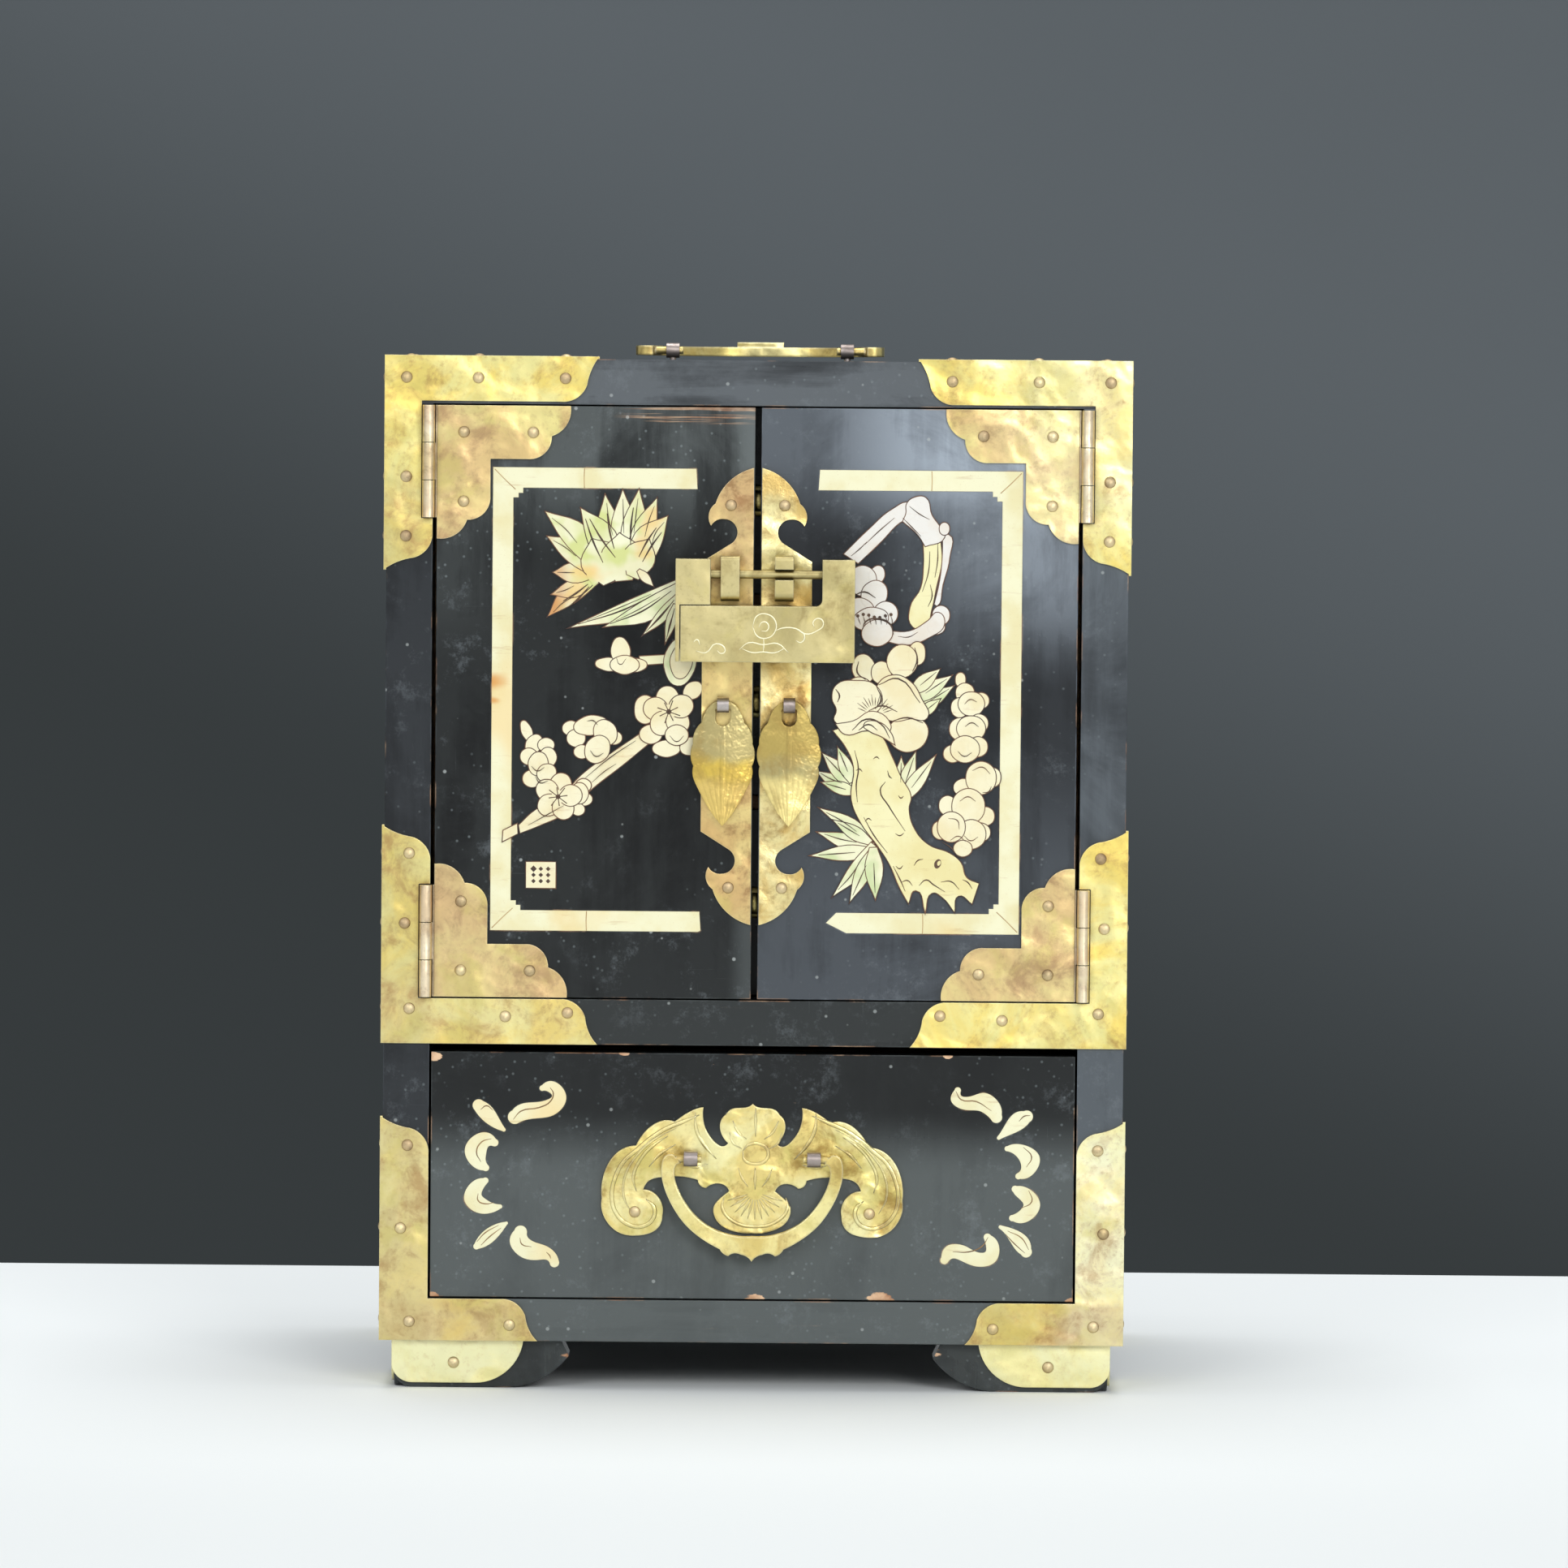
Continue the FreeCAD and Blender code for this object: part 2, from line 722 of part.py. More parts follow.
# Case boards, each cut where the fasteners go in
fasteners = group("case_fasteners", [frame_nails, top_handle_posts])
case_depth = ("front", "back")
for side in (-1, 1):
    blank = box("side_blank_" + SIDE_NAMES[side], sided(side, "inner_half", "half_wood"),
                case_depth, ("floor_top", "lid_low"))
    node(cut("side_" + SIDE_NAMES[side], blank, frame_nails))
lid_blank = box("lid_blank", ("-half_wood", "half_wood"), case_depth, ("lid_low", "lid_top"))
node(cut("lid_board_piece", lid_blank, fasteners), "lid")
floor_blank = box("floor_blank", ("-half_wood", "half_wood"), case_depth,
                  ("foot_height", "floor_top"))
node(cut("floor_board_piece", floor_blank, frame_nails), "floor")
shelf_blank = box("shelf_blank", ("-inner_half", "inner_half"), ("front", "back_inside"),
                  ("shelf_low", "shelf_top"))
node(cut("shelf_board_piece", shelf_blank, frame_nails), "shelf")
node(box("back_panel", ("-inner_half", "inner_half"), ("back_inside", "back"),
         ("floor_top", "lid_low")))
guides = []
for side in (-1, 1):
    guides.append(box("guide_" + SIDE_NAMES[side], sided(side, "guide_half", "inner_half"),
                      ("guide_front", "back_inside"), ("shelf_top", "lid_low")))
node(group("guide_walls", guides))
dividers = []
for count in (1, 2):
    low = f"shelf_top + {count} * inner_pitch - divider"
    dividers.append(box(f"divider_{count}", ("-guide_half", "guide_half"),
                        ("guide_front", "back_inside"), (low, f"{low} + divider")))
node(group("drawer_dividers", dividers))

for corner_name, (height, arms, arm_width, upward) in CORNERS.items():
    for side in (-1, 1):
        blank = case_corner(corner_name, side, height, arms, arm_width, upward,
                            hinged=corner_name != "lower", lid=corner_name == "upper")
        node(cut(f"bracket_{corner_name}_{SIDE_NAMES[side]}", blank, frame_nails))
caps = []
for side in (-1, 1):
    for end in (-1, 1):
        blank, foot_label = foot(side, end)
        node(cut(foot_label, blank, frame_nails))
        caps.append(foot_cap(side, end))
node(cut("foot_caps", group("foot_cap_blanks", caps), frame_nails))
node(frame_nails)

# Hinges: two knuckles on the case, one on the door and a pin through all three
HINGES = {"lower": "door_low", "upper": "door_high - hinge_length"}
KNUCKLE = "(hinge_length / 3 - knuckle_gap)"
PIN_BORE = "hinge_pin_radius + running_gap"


def frame_leaf(side, name, low):
    """The case's half of a hinge, flat on the post's inner face."""
    label = f"frame_leaf_{name}_{SIDE_NAMES[side]}"
    x = f"{side} * axis_x"
    plate_x = sided(side, "inner_half - leaf_sheet", "inner_half")
    parts = [box(label + "_plate", plate_x, ("front", "front + leaf_depth"),
                 (low, f"{low} + hinge_length"))]
    for index, start in enumerate((low, f"{low} + hinge_length - {KNUCKLE}")):
        parts.append(rod(f"{label}_knuckle_{index}", "z", (x, "axis_y", start),
                         "barrel_radius", KNUCKLE))
        parts.append(box(f"{label}_arm_{index}", plate_x, ("axis_y", "front"),
                         (start, f"{start} + {KNUCKLE}")))
    bore = rod(label + "_bore", "z", (x, "axis_y", low), PIN_BORE, "hinge_length")
    return cut(label, fuse(label + "_joined", parts), bore)


def door_leaf(side, name, low):
    """The door's half of a hinge, flat on the door's outer edge."""
    label = f"door_leaf_{name}_{SIDE_NAMES[side]}"
    x = f"{side} * axis_x"
    start = f"{low} + hinge_length / 2 - {KNUCKLE} / 2"
    strip_back = "axis_y + barrel_radius"
    knuckle = rod(label + "_knuckle", "z", (x, "axis_y", start), "barrel_radius", KNUCKLE)
    strip = box(label + "_strip", sided(side, "door_outer", "axis_x"),
                (f"{strip_back} - leaf_sheet", strip_back), (start, f"{start} + {KNUCKLE}"))
    plate = box(label + "_plate", sided(side, "door_outer", "door_outer + leaf_sheet"),
                (f"{strip_back} - leaf_sheet", "front + leaf_depth"),
                (low, f"{low} + hinge_length"))
    bore = rod(label + "_bore", "z", (x, "axis_y", low), PIN_BORE, "hinge_length")
    return cut(label, fuse(label + "_joined", [knuckle, strip, plate]), bore)


frame_leaves = []
hinge_pins = []
for side in (-1, 1):
    door_leaves = []
    for name, low in HINGES.items():
        frame_leaves.append(frame_leaf(side, name, low))
        door_leaves.append(door_leaf(side, name, low))
        hinge_pins.append(rod(f"pin_{name}_{SIDE_NAMES[side]}", "z",
                              (f"{side} * axis_x", "axis_y", low),
                              "hinge_pin_radius", "hinge_length"))
    node(group(f"door_{SIDE_NAMES[side]}_hinge_leaves", door_leaves))
node(group("hinge_frame_leaves", frame_leaves))
node(group("hinge_pins", hinge_pins))


# Door hardware outlines
def door_corner_outline():
    """A two-lobed L from the door's corner, u inwards and w away from the corner."""
    arm = size("door_corner_arm")
    unit = arm / 41
    wide = size("door_corner_width")
    lobe_far = (arm - 13.4 * unit, wide)
    lobe_out = [[(arm - 1.0 * unit, 5.4 * unit), (arm - 5.8 * unit, 9.3 * unit)],
                [(arm - 7.6 * unit, 14.2 * unit), lobe_far]]
    lobe_back = [[(14.2 * unit, arm - 7.6 * unit), (9.3 * unit, arm - 5.8 * unit)],
                 [(5.4 * unit, arm - 1.0 * unit), (0, arm)]]
    inner = [(wide, wide), (wide, arm - 13.4 * unit)]
    return [(0, 0), (arm, 0)] + lobe_out + inner + lobe_back + [(0, 0)]


def lock_plate_outline():
    """A tall plate from its straight inner edge, with a hooked ogee at both ends."""
    half = size("lock_plate_half_height")
    wide = size("lock_plate_width")
    unit = wide / 15.6
    # Each point is a distance in from the inner edge and one back from the tip
    hook = [
        (15.6, 28.8), (6.9, 23.3),
        [(5.0, 19.6), (9.0, 15.8)],
        [(11.4, 16.2), (13.1, 17.9)],
        [(13.9, 14.6), (11.8, 11.0)],
        [(8.6, 5.2), (0, 0)],
    ]
    upper = []
    for item in hook:
        if isinstance(item, tuple):
            upper.append((item[0] * unit, half - item[1] * unit))
        else:
            upper.append([(u * unit, half - w * unit) for u, w in item])
    top = runs_through(upper)
    bottom = [[(u, -w) for u, w in reversed(points)] for points in reversed(top)]
    shoulder = upper[0]
    sides = [[(shoulder[0], -shoulder[1]), shoulder]]
    return [[(0, half), (0, -half)]] + bottom + sides + top


def leaf_outline():
    """A lobed leaf that hangs from its bridge; the height is measured from the pivot."""
    unit = size("pull_length") / 37.3
    rise = size("pull_bridge") / 2
    half = [
        (0, rise),
        [(2.6, rise - 0.4), (5.0, -1.4), (6.6, -5.4)],
        [(8.7, -8.4), (9.2, -12.0)],
        [(9.9, -15.0), (9.0, -18.8)],
        [(9.2, -21.5), (7.8, -25.2), (5.0, -30.6), (0, -37.3)],
    ]
    return [[(x * unit, y * unit) for x, y in points] for points in symmetric(half)]


def bat_outline():
    """A bat with spread wings, hooked wing tips and a fanned tail, from its middle."""
    unit = size("bat_half_width") / 47
    half = [
        (0, 17.0),
        [(1.8, 15.9), (5.2, 15.6), (8.4, 13.6)],
        [(10.2, 10.6), (9.6, 7.2), (7.6, 4.6)],
        [(9.2, 3.6), (12.6, 5.8), (15.0, 10.0), (15.4, 15.8)],
        [(18.6, 14.9), (21.0, 13.6), (24.4, 11.2)],
        [(28.0, 11.5), (33.0, 8.6), (36.4, 3.6)],
        [(42.0, 1.6), (46.4, -5.4), (47.0, -13.0)],
        [(45.6, -20.0), (41.0, -24.0), (35.4, -24.6), (30.0, -22.8), (28.0, -18.2)],
        [(28.6, -13.6), (31.0, -11.0), (34.0, -10.2)],
        [(31.6, -7.0), (28.0, -6.2), (22.0, -6.0), (17.0, -7.0)],
        [(15.6, -9.2), (14.4, -9.5)],
        [(12.0, -8.2), (9.0, -8.4), (7.2, -10.4)],
        [(9.6, -12.4), (12.0, -15.6), (11.2, -19.4), (7.0, -22.6), (0, -23.6)],
    ]
    return [[(x * unit, y * unit) for x, y in points] for points in symmetric(half)]


def bail_outline(reach):
    """A drop handle's flat bow, below its pivot line, with a waved point in the middle."""
    unit = reach / 28.0
    outer = [
        (24.2, 1.4),
        [(27.0, 0.8), (28.0, -2.5), (27.6, -7.0), (24.6, -14.5), (20.4, -20.4), (14.5, -25.2),
         (9.8, -27.8)],
        [(8.9, -29.0), (7.2, -29.9)],
        [(5.2, -29.0), (3.4, -29.4)],
        [(1.6, -30.0), (0, -31.6)],
    ]
    inner = [
        (0, -23.8),
        [(8.0, -23.0), (14.6, -19.8), (19.6, -14.8), (23.2, -8.2), (24.0, -4.4), (23.4, -1.9),
         (22.0, -1.4)],
    ]
    right = runs_through(outer)
    hollow = runs_through(inner)
    close_right = [[inner[-1][-1], outer[0]]]
    half = close_right + right
    mirror_half = [[(-x, y) for x, y in reversed(points)] for points in reversed(half)]
    mirror_hollow = [[(-x, y) for x, y in reversed(points)] for points in reversed(hollow)]
    edges = half + mirror_half + mirror_hollow + hollow
    return [[(x * unit, y * unit) for x, y in points] for points in edges]


def bone_bars(side):
    """The three bone bars round a door's picture, mitred, with small steps at the corners."""
    outer = size("bone_frame_outer")
    wide = size("bone_width")
    low = size("shelf_top + bone_frame_low")
    high = size("shelf_top + bone_frame_high")
    step = size("bone_step")
    reach = wide + size("bone_step_length")
    top_end = outer - size("bone_top_end")
    bottom_end = outer - size("bone_bottom_end_" + SIDE_NAMES[side])
    tall = high - low
    point = wide / 2 if side > 0 else 0.4
    upright = [
        (0, 0), (wide + step, wide + step), (wide + step, reach), (wide, reach),
        (wide, tall - reach), (wide + step, tall - reach), (wide + step, tall - wide - step),
        (0, tall),
    ]
    top = [
        (0, tall), (wide + step, tall - wide - step), (reach, tall - wide - step),
        (reach, tall - wide), (top_end, tall - wide), (top_end - 0.4, tall),
    ]
    bottom = [
        (0, 0), (bottom_end - 2 * point, 0), (bottom_end, point), (bottom_end - point, wide),
        (reach, wide), (reach, wide + step), (wide + step, wide + step),
    ]
    solids = []
    for points in (upright, top, bottom):
        vectors = [FreeCAD.Vector(side * (outer - u), size("front"), low + w) for u, w in points]
        face = Part.Face(Part.makePolygon(vectors + vectors[:1]))
        solids.append(face.extrude(FreeCAD.Vector(0, size("bone_thick"), 0)))
    return solids


# The lug on each lock plate that the rod of the lock goes through
def lug(side):
    """A round-ended lug with an eye; the right one is open at the front of its eye."""
    label = f"door_{SIDE_NAMES[side]}_staple"
    above = size("lug_above_rod")
    below = size("lug_below_rod")
    reach = size("rod_radius + lug_front")
    plate = size("lock_gap + lock_thick / 2")
    tail = size("lug_tail_height") / 2
    depth = plate + size("sheet + lug_tail_depth")
    bend = reach * 0.9
    outline = [
        (plate, above), (-reach + 1.2, above),
        [(-reach + 0.35, above - 0.35), (-reach, above - 1.2)],
        (-reach, -below + bend),
        [(-reach + 0.3 * bend, -below + 0.3 * bend), (-reach + bend, -below)],
        (plate, -below), (plate, -tail), (depth, -tail), (depth, tail), (plate, tail),
        (plate, above),
    ]
    blank = sheet_piece(label + "_blank", "YZ_Plane", runs_through(outline), "lug_width",
                        (sided(side, "lug_inset", "lug_inset + lug_width")[0], "rod_y", "rod_z"))
    eye = "rod_radius + running_gap" if side < 0 else "rod_radius + free_gap"
    x_low = sided(side, "lug_inset - 1", "lug_inset + lug_width + 1")
    tools = [rod(label + "_eye", "x", (x_low[0], "rod_y", "rod_z"), eye, "lug_width + 2")]
    if side > 0:
        tools.append(box(label + "_mouth", x_low, ("rod_y - lug_front - rod_radius - 1", "rod_y"),
                         ("rod_z - rod_radius - free_gap", "rod_z + rod_radius + free_gap")))
        return cut(label, blank, fuse(label + "_opening", tools))
    return cut(label, blank, tools[0])


def pull_post(side):
    """The looped pin that holds a leaf pull by its bridge."""
    return post(f"door_{SIDE_NAMES[side]}_pull_post", (f"{side} * pull_inset", "pull_y", "pull_z"),
                "y", "pull_eye_radius", "pull_eye_wall", "pull_eye_width", "0.9",
                "(pull_lift + lug_tail_depth)")


def leaf_pull(side):
    """A hanging leaf with a window under its bridge."""
    label = f"leaf_pull_{SIDE_NAMES[side]}"
    blank = sheet_piece(label + "_blank", "XZ_Plane", leaf_outline(), "pull_sheet",
                        (f"{side} * pull_inset", "pull_y + pull_sheet / 2", "pull_z"))
    bridge_low = "pull_z - pull_bridge / 2"
    window_low = f"{bridge_low} - pull_window_drop"
    x = f"{side} * pull_inset"
    y_span = ("pull_y - pull_sheet", "pull_y + pull_sheet")
    upper = box(label + "_window", (f"{x} - pull_window_half", f"{x} + pull_window_half"), y_span,
                (window_low, bridge_low))
    lower = rod(label + "_round", "y", (x, y_span[0], window_low), "pull_window_half",
                "2 * pull_sheet")
    return cut(label, blank, fuse(label + "_opening", [upper, lower]))


def door_nail_places(side):
    """Two nails on each arm of the door corners, one at each bend, and two per lock plate."""
    outer = size("door_outer")
    y = size("front - sheet")
    wide = size("door_corner_width") / 2
    far = size("door_corner_arm") - 11.5
    found = []
    for corner_z, upward in ((size("door_low"), 1), (size("door_high"), -1)):
        for u, w in ((wide, wide), (far, wide), (wide, far)):
            found.append(((side * (outer - u), y, corner_z + upward * w), "front"))
    middle = size("shelf_top + lock_plate_middle")
    for way in (-1, 1):
        z = middle + way * (size("lock_plate_half_height") - 11.5)
        found.append(((side * (size("lock_plate_inset") + 7.0), y, z), "front"))
    return found


for side in (-1, 1):
    name = "door_" + SIDE_NAMES[side]
    door_nails = nails(name + "_nails", door_nail_places(side))
    corners = []
    for height, upward in (("door_low", 1), ("door_high", -1)):
        outline = scaled(door_corner_outline(), -side, upward)
        corners.append(sheet_piece(f"{name}_corner_{'low' if upward > 0 else 'high'}", "XZ_Plane",
                                   runs_through(outline), "sheet",
                                   (f"{side} * door_outer", "front", height)))
    node(cut(name + "_brackets", group(name + "_corner_pair", corners), door_nails))
    staple = node(lug(side))
    pull_pin = node(pull_post(side))
    pins = group(name + "_pins", [door_nails, staple, pull_pin])
    plate = sheet_piece(name + "_plate_blank", "XZ_Plane",
                        [[(side * u, w) for u, w in points] for points in lock_plate_outline()],
                        "sheet",
                        (f"{side} * lock_plate_inset", "front", "shelf_top + lock_plate_middle"))
    node(cut(name + "_lock_plate", plate, pins))
    inlay = doc.addObject("Part::Feature", name + "_inlay")
    inlay.Shape = Part.makeCompound(bone_bars(side))
    node(inlay)
    panel = rectangle_piece(name + "_blank", sided(side, "door_inner", "door_outer"),
                            ("door_low", "door_high"), "front + door_thick", "door_thick")
    node(cut(name + "_panel", panel, group(name + "_let_in", [pins, inlay])))
    node(door_nails)
    node(leaf_pull(side))

# Sliding bolt lock: the case is the lower bar and the right horn
bar_end = "-lock_left + lock_cap + free_gap"
half_thick = "lock_thick / 2"
horn_in = size("lock_right - lock_right_horn")
left_end = size(bar_end)
bar_top = size("lock_bar_height")
horn_top = size("lock_drop + lock_horn_rise")
bend = size("lock_inner_round")
case_outline = [
    (left_end, 0), (size("lock_right"), 0), (size("lock_right"), horn_top), (horn_in, horn_top),
    (horn_in, bar_top + bend),
    [(horn_in - 0.3 * bend, bar_top + 0.3 * bend), (horn_in - bend, bar_top)],
    (left_end, bar_top), (left_end, 0),
]
case_blank = sheet_piece("lock_case_blank", "XZ_Plane", runs_through(case_outline), "lock_thick",
                         ("0", f"rod_y + {half_thick}", "bar_low"))
cavity = box("lock_cavity", (f"{bar_end} - 1", "lock_right - lock_wall"),
             (f"rod_y - {half_thick} + lock_wall", f"rod_y + {half_thick} - lock_wall"),
             ("bar_low + lock_wall", "bar_high - lock_wall"))
bore = rod("lock_bore", "x", ("lock_right - lock_right_horn - 1", "rod_y", "rod_z"),
           "rod_radius + running_gap", "rod_end_depth + free_gap + 1")
bar_middle = "bar_low + lock_bar_height / 2"
keyhole = box("lock_keyhole", ("lock_right - lock_wall - 1", "lock_right + 1"),
              ("rod_y - keyhole_width / 2", "rod_y + keyhole_width / 2"),
              (f"{bar_middle} - keyhole_height / 2", f"{bar_middle} + keyhole_height / 2"))
node(cut("lock_case", case_blank, fuse("lock_hollows", [cavity, bore, keyhole])))

# The bolt is the left horn, its end cap, the tongue inside the case and the rod
bolt_depth = (f"rod_y - {half_thick}", f"rod_y + {half_thick}")
horn = box("bolt_horn", ("-lock_left", "-lock_left + lock_left_horn"), bolt_depth,
           ("bar_high + free_gap", "horn_high"))
cap = box("bolt_cap", ("-lock_left", "-lock_left + lock_cap"), bolt_depth,
          ("bar_low", "bar_high + 2 * free_gap"))
tongue = box("bolt_tongue", ("-lock_left + lock_cap / 2", "-lock_left + lock_cap + tongue_length"),
             ("rod_y - tongue_thick / 2", "rod_y + tongue_thick / 2"),
             (f"{bar_middle} - tongue_height / 2", f"{bar_middle} + tongue_height / 2"))
shackle = rod("bolt_rod", "x", ("-lock_left + lock_left_horn / 2", "rod_y", "rod_z"), "rod_radius",
              "lock_left - lock_left_horn / 2 + lock_right - lock_right_horn + rod_end_depth")
node(fuse("lock_bolt", [horn, cap, tongue, shackle]))


# Bails: a flat bow and two round stubs that turn in the posts
def bail(label, role, edges, thick, base, posts, reach, axis_y, axis_z):
    """Fuses a bow with its two stubs."""
    bow = sheet_piece(label + "_bow", role, edges, thick, base)
    inner = f"{posts} - post_eye_width / 2 - 1.2"
    outer = f"{reach} * 23.5 / 28"
    parts = [bow]
    for side in (-1, 1):
        start = sided(side, inner, outer)[0]
        parts.append(rod(f"{label}_stub_{SIDE_NAMES[side]}", "x", (start, axis_y, axis_z),
                         "bail_stub_radius", f"{outer} - ({inner})"))
    return parts


drawer_bail_parts = bail("drawer_bail", "XZ_Plane", bail_outline(size("drawer_bail_reach")),
                         "bail_thick", ("0", "bail_y + bail_thick / 2", "bail_z"),
                         "drawer_bail_posts", "drawer_bail_reach", "bail_y", "bail_z")
node(fuse("drawer_bail_joined", drawer_bail_parts), "drawer_bail")

top_edges = [[(x, -y) for x, y in points] for points in bail_outline(size("top_bail_reach"))]
top_bail_parts = bail("top_handle", "XY_Plane", top_edges, "top_bail_thick",
                      ("0", "top_bail_y", "top_bail_z - top_bail_thick / 2"),
                      "top_bail_posts", "top_bail_reach", "top_bail_y", "top_bail_z")
boss_middle = "top_bail_y + top_bail_reach * 27 / 28"
top_bail_parts.append(box(
    "top_handle_boss", ("-top_bail_reach * 0.19", "top_bail_reach * 0.19"),
    (f"{boss_middle} - 2", f"{boss_middle} + 2"),
    ("top_bail_z", "top_bail_z + top_bail_thick / 2 + top_bail_boss")))
node(fuse("top_handle_joined", top_bail_parts), "top_handle")

# Deep drawer
bat_nail_places = []
for side in (-1, 1):
    bat_nail_places.append(((side * size("bat_half_width") * 0.78, size("front - bat_sheet"),
                             size("bail_z") - 17.0), "front"))
plate_nails = nails("drawer_plate_nails", bat_nail_places)
bat_blank = sheet_piece("drawer_bat_blank", "XZ_Plane", bat_outline(), "bat_sheet",
                        ("0", "front", "bail_z"))
drawer_pins = group("drawer_pins", [plate_nails, drawer_handle_posts])
node(cut("drawer_bat_plate", bat_blank, drawer_pins))
node(plate_nails)

# Bone strokes of the drawer front: (x, height above the drawer's floor, half width)
DRAWER_STROKES = [
    [(-65.0, 65.4, 0.9), (-62.4, 65.9, 1.8), (-59.8, 63.0, 2.2), (-62.6, 59.4, 2.6),
     (-68.6, 58.4, 2.6), (-73.4, 56.4, 2.2)],
    [(-84.6, 59.9, 1.9), (-82.0, 57.4, 2.4), (-79.4, 54.6, 1.7), (-76.8, 52.4, 0.6)],
    [(-79.6, 48.4, 1.2), (-82.4, 49.4, 2.4), (-85.5, 45.6, 3.4), (-84.2, 42.0, 2.2),
     (-82.3, 40.6, 1.1)],
    [(-82.4, 36.6, 1.0), (-85.2, 34.4, 2.2), (-86.2, 31.4, 2.8), (-83.6, 28.8, 2.5),
     (-80.4, 28.2, 1.6), (-77.8, 28.6, 0.7)],
    [(-75.8, 23.5, 0.5), (-79.2, 21.1, 1.9), (-82.4, 18.4, 2.1), (-85.0, 16.2, 1.0)],
    [(-71.4, 20.8, 2.0), (-72.0, 18.4, 2.9), (-69.0, 15.3, 3.0), (-64.8, 14.5, 2.4),
     (-62.0, 13.4, 1.7), (-60.9, 11.4, 1.5)],
    [(63.2, 65.8, 1.0), (62.8, 63.2, 1.8), (66.2, 61.8, 2.1), (70.6, 62.3, 2.9),
     (74.0, 60.2, 2.7), (75.2, 57.6, 1.8)],
    [(76.0, 51.2, 0.6), (79.2, 54.0, 1.9), (82.2, 56.6, 2.7), (84.6, 57.9, 1.9)],
    [(78.6, 47.9, 0.8), (82.0, 47.6, 1.9), (85.8, 44.2, 3.1), (84.6, 40.8, 2.0),
     (82.2, 39.4, 1.0)],
    [(81.2, 35.4, 1.1), (84.2, 33.8, 2.2), (86.4, 30.6, 2.6), (84.4, 27.4, 2.2),
     (80.4, 26.4, 1.0)],
    [(76.8, 23.6, 0.6), (80.4, 21.4, 1.8), (83.4, 18.4, 2.6), (84.8, 16.0, 1.8)],
    [(72.8, 20.4, 1.2), (74.4, 17.6, 2.0), (73.8, 14.4, 2.2), (70.4, 13.4, 2.2),
     (65.6, 15.2, 2.4), (61.6, 15.8, 2.2), (59.6, 13.2, 1.3)],
]
stroke_solids = []
for spine in DRAWER_STROKES:
    lifted = [(x, size("floor_top") + z, half) for x, z, half in spine]
    stroke_solids.append(stroke_solid(lifted, size("front"), size("bone_thick")))
drawer_inlay = doc.addObject("Part::Feature", "drawer_inlay")
drawer_inlay.Shape = Part.makeCompound(stroke_solids)
node(drawer_inlay)

drawer_low = "floor_top + drawer_low_gap"
front_blank = rectangle_piece("drawer_front_blank", ("-drawer_half", "drawer_half"),
                              (drawer_low, "shelf_low - drawer_high_gap"),
                              "front + drawer_front_thick", "drawer_front_thick")
node(cut("drawer_front", front_blank, group("drawer_let_in", [drawer_pins, drawer_inlay])))


def tray(label, half, y, z, wall, bottom):
    """An open box of thin boards behind a drawer front."""
    outer = box(label + "_outer", (f"-({half})", half), y, z)
    inner = box(label + "_hollow", (f"-({half}) + {wall}", f"{half} - {wall}"),
                (f"{y[0]} + {wall}", f"{y[1]} - {wall}"), (f"{z[0]} + {bottom}", f"{z[1]} + 1"))
    return cut(label, outer, inner)


tray_start = "front + drawer_front_thick"
node(tray("drawer_tray", "inner_half - drawer_tray_gap",
          (tray_start, "back_inside - drawer_back_gap"),
          (f"{drawer_low} - free_gap", f"{drawer_low} + drawer_tray_height"),
          "drawer_wall", "drawer_bottom"))


# Shallow drawers, each with a front, a tray and a turned knob
def knob(label, x, y, z):
    """A turned brass knob: base, neck, ball and a tail in the drawer front."""
    base = size("knob_base_radius")
    neck = size("knob_neck_radius")
    ball = size("knob_ball_radius")
    reach = size("knob_reach")
    tail = size("knob_tail_depth")
    corners = [
        (0, -tail), (neck, -tail), (neck, 0), (base, 0),
        [(base * 0.78, 0.9), (neck, 1.4)],
        (neck, reach - ball - math.sqrt(ball ** 2 - neck ** 2)),
        [(ball, reach - ball), (0, reach)],
        (0, -tail),
    ]
    body = doc.addObject("PartDesign::Body", label)
    sketch = add_sketch(body, label + "_profile", "XY_Plane", runs_through(corners))
    turned = body.newObject("PartDesign::Revolution", label + "_turned")
    turned.Profile = sketch
    turned.ReferenceAxis = (sketch, ["V_Axis"])
    turned.Angle = 360
    body.Tip = turned
    body.Placement = FreeCAD.Placement(
        FreeCAD.Vector(), FreeCAD.Rotation(FreeCAD.Vector(0, 0, 1), 180))
    place(body, x, y, z)
    return body


for count, name in enumerate(("bottom", "middle", "top")):
    label = f"inner_drawer_{name}"
    low = f"shelf_top + {count} * inner_pitch"
    front_low = f"{low} + inner_drawer_gap"
    front_high = f"{low} + inner_pitch - divider - inner_drawer_gap"
    back_of_front = "guide_front + inner_front_thick"
    knob_piece = node(knob(label + "_knob", "0", "guide_front",
                           f"{low} + (inner_pitch - divider) / 2"))
    blank = rectangle_piece(label + "_blank", ("-guide_half + inner_drawer_gap",
                                               "guide_half - inner_drawer_gap"),
                            (front_low, front_high), back_of_front, "inner_front_thick")
    node(cut(label + "_front", blank, knob_piece))
    node(tray(label + "_tray", "guide_half - 2 * inner_drawer_gap",
              (back_of_front, "back_inside - inner_back_gap"),
              (f"{low} + free_gap", f"{low} + inner_tray_height"),
              "inner_wall", "inner_bottom"))

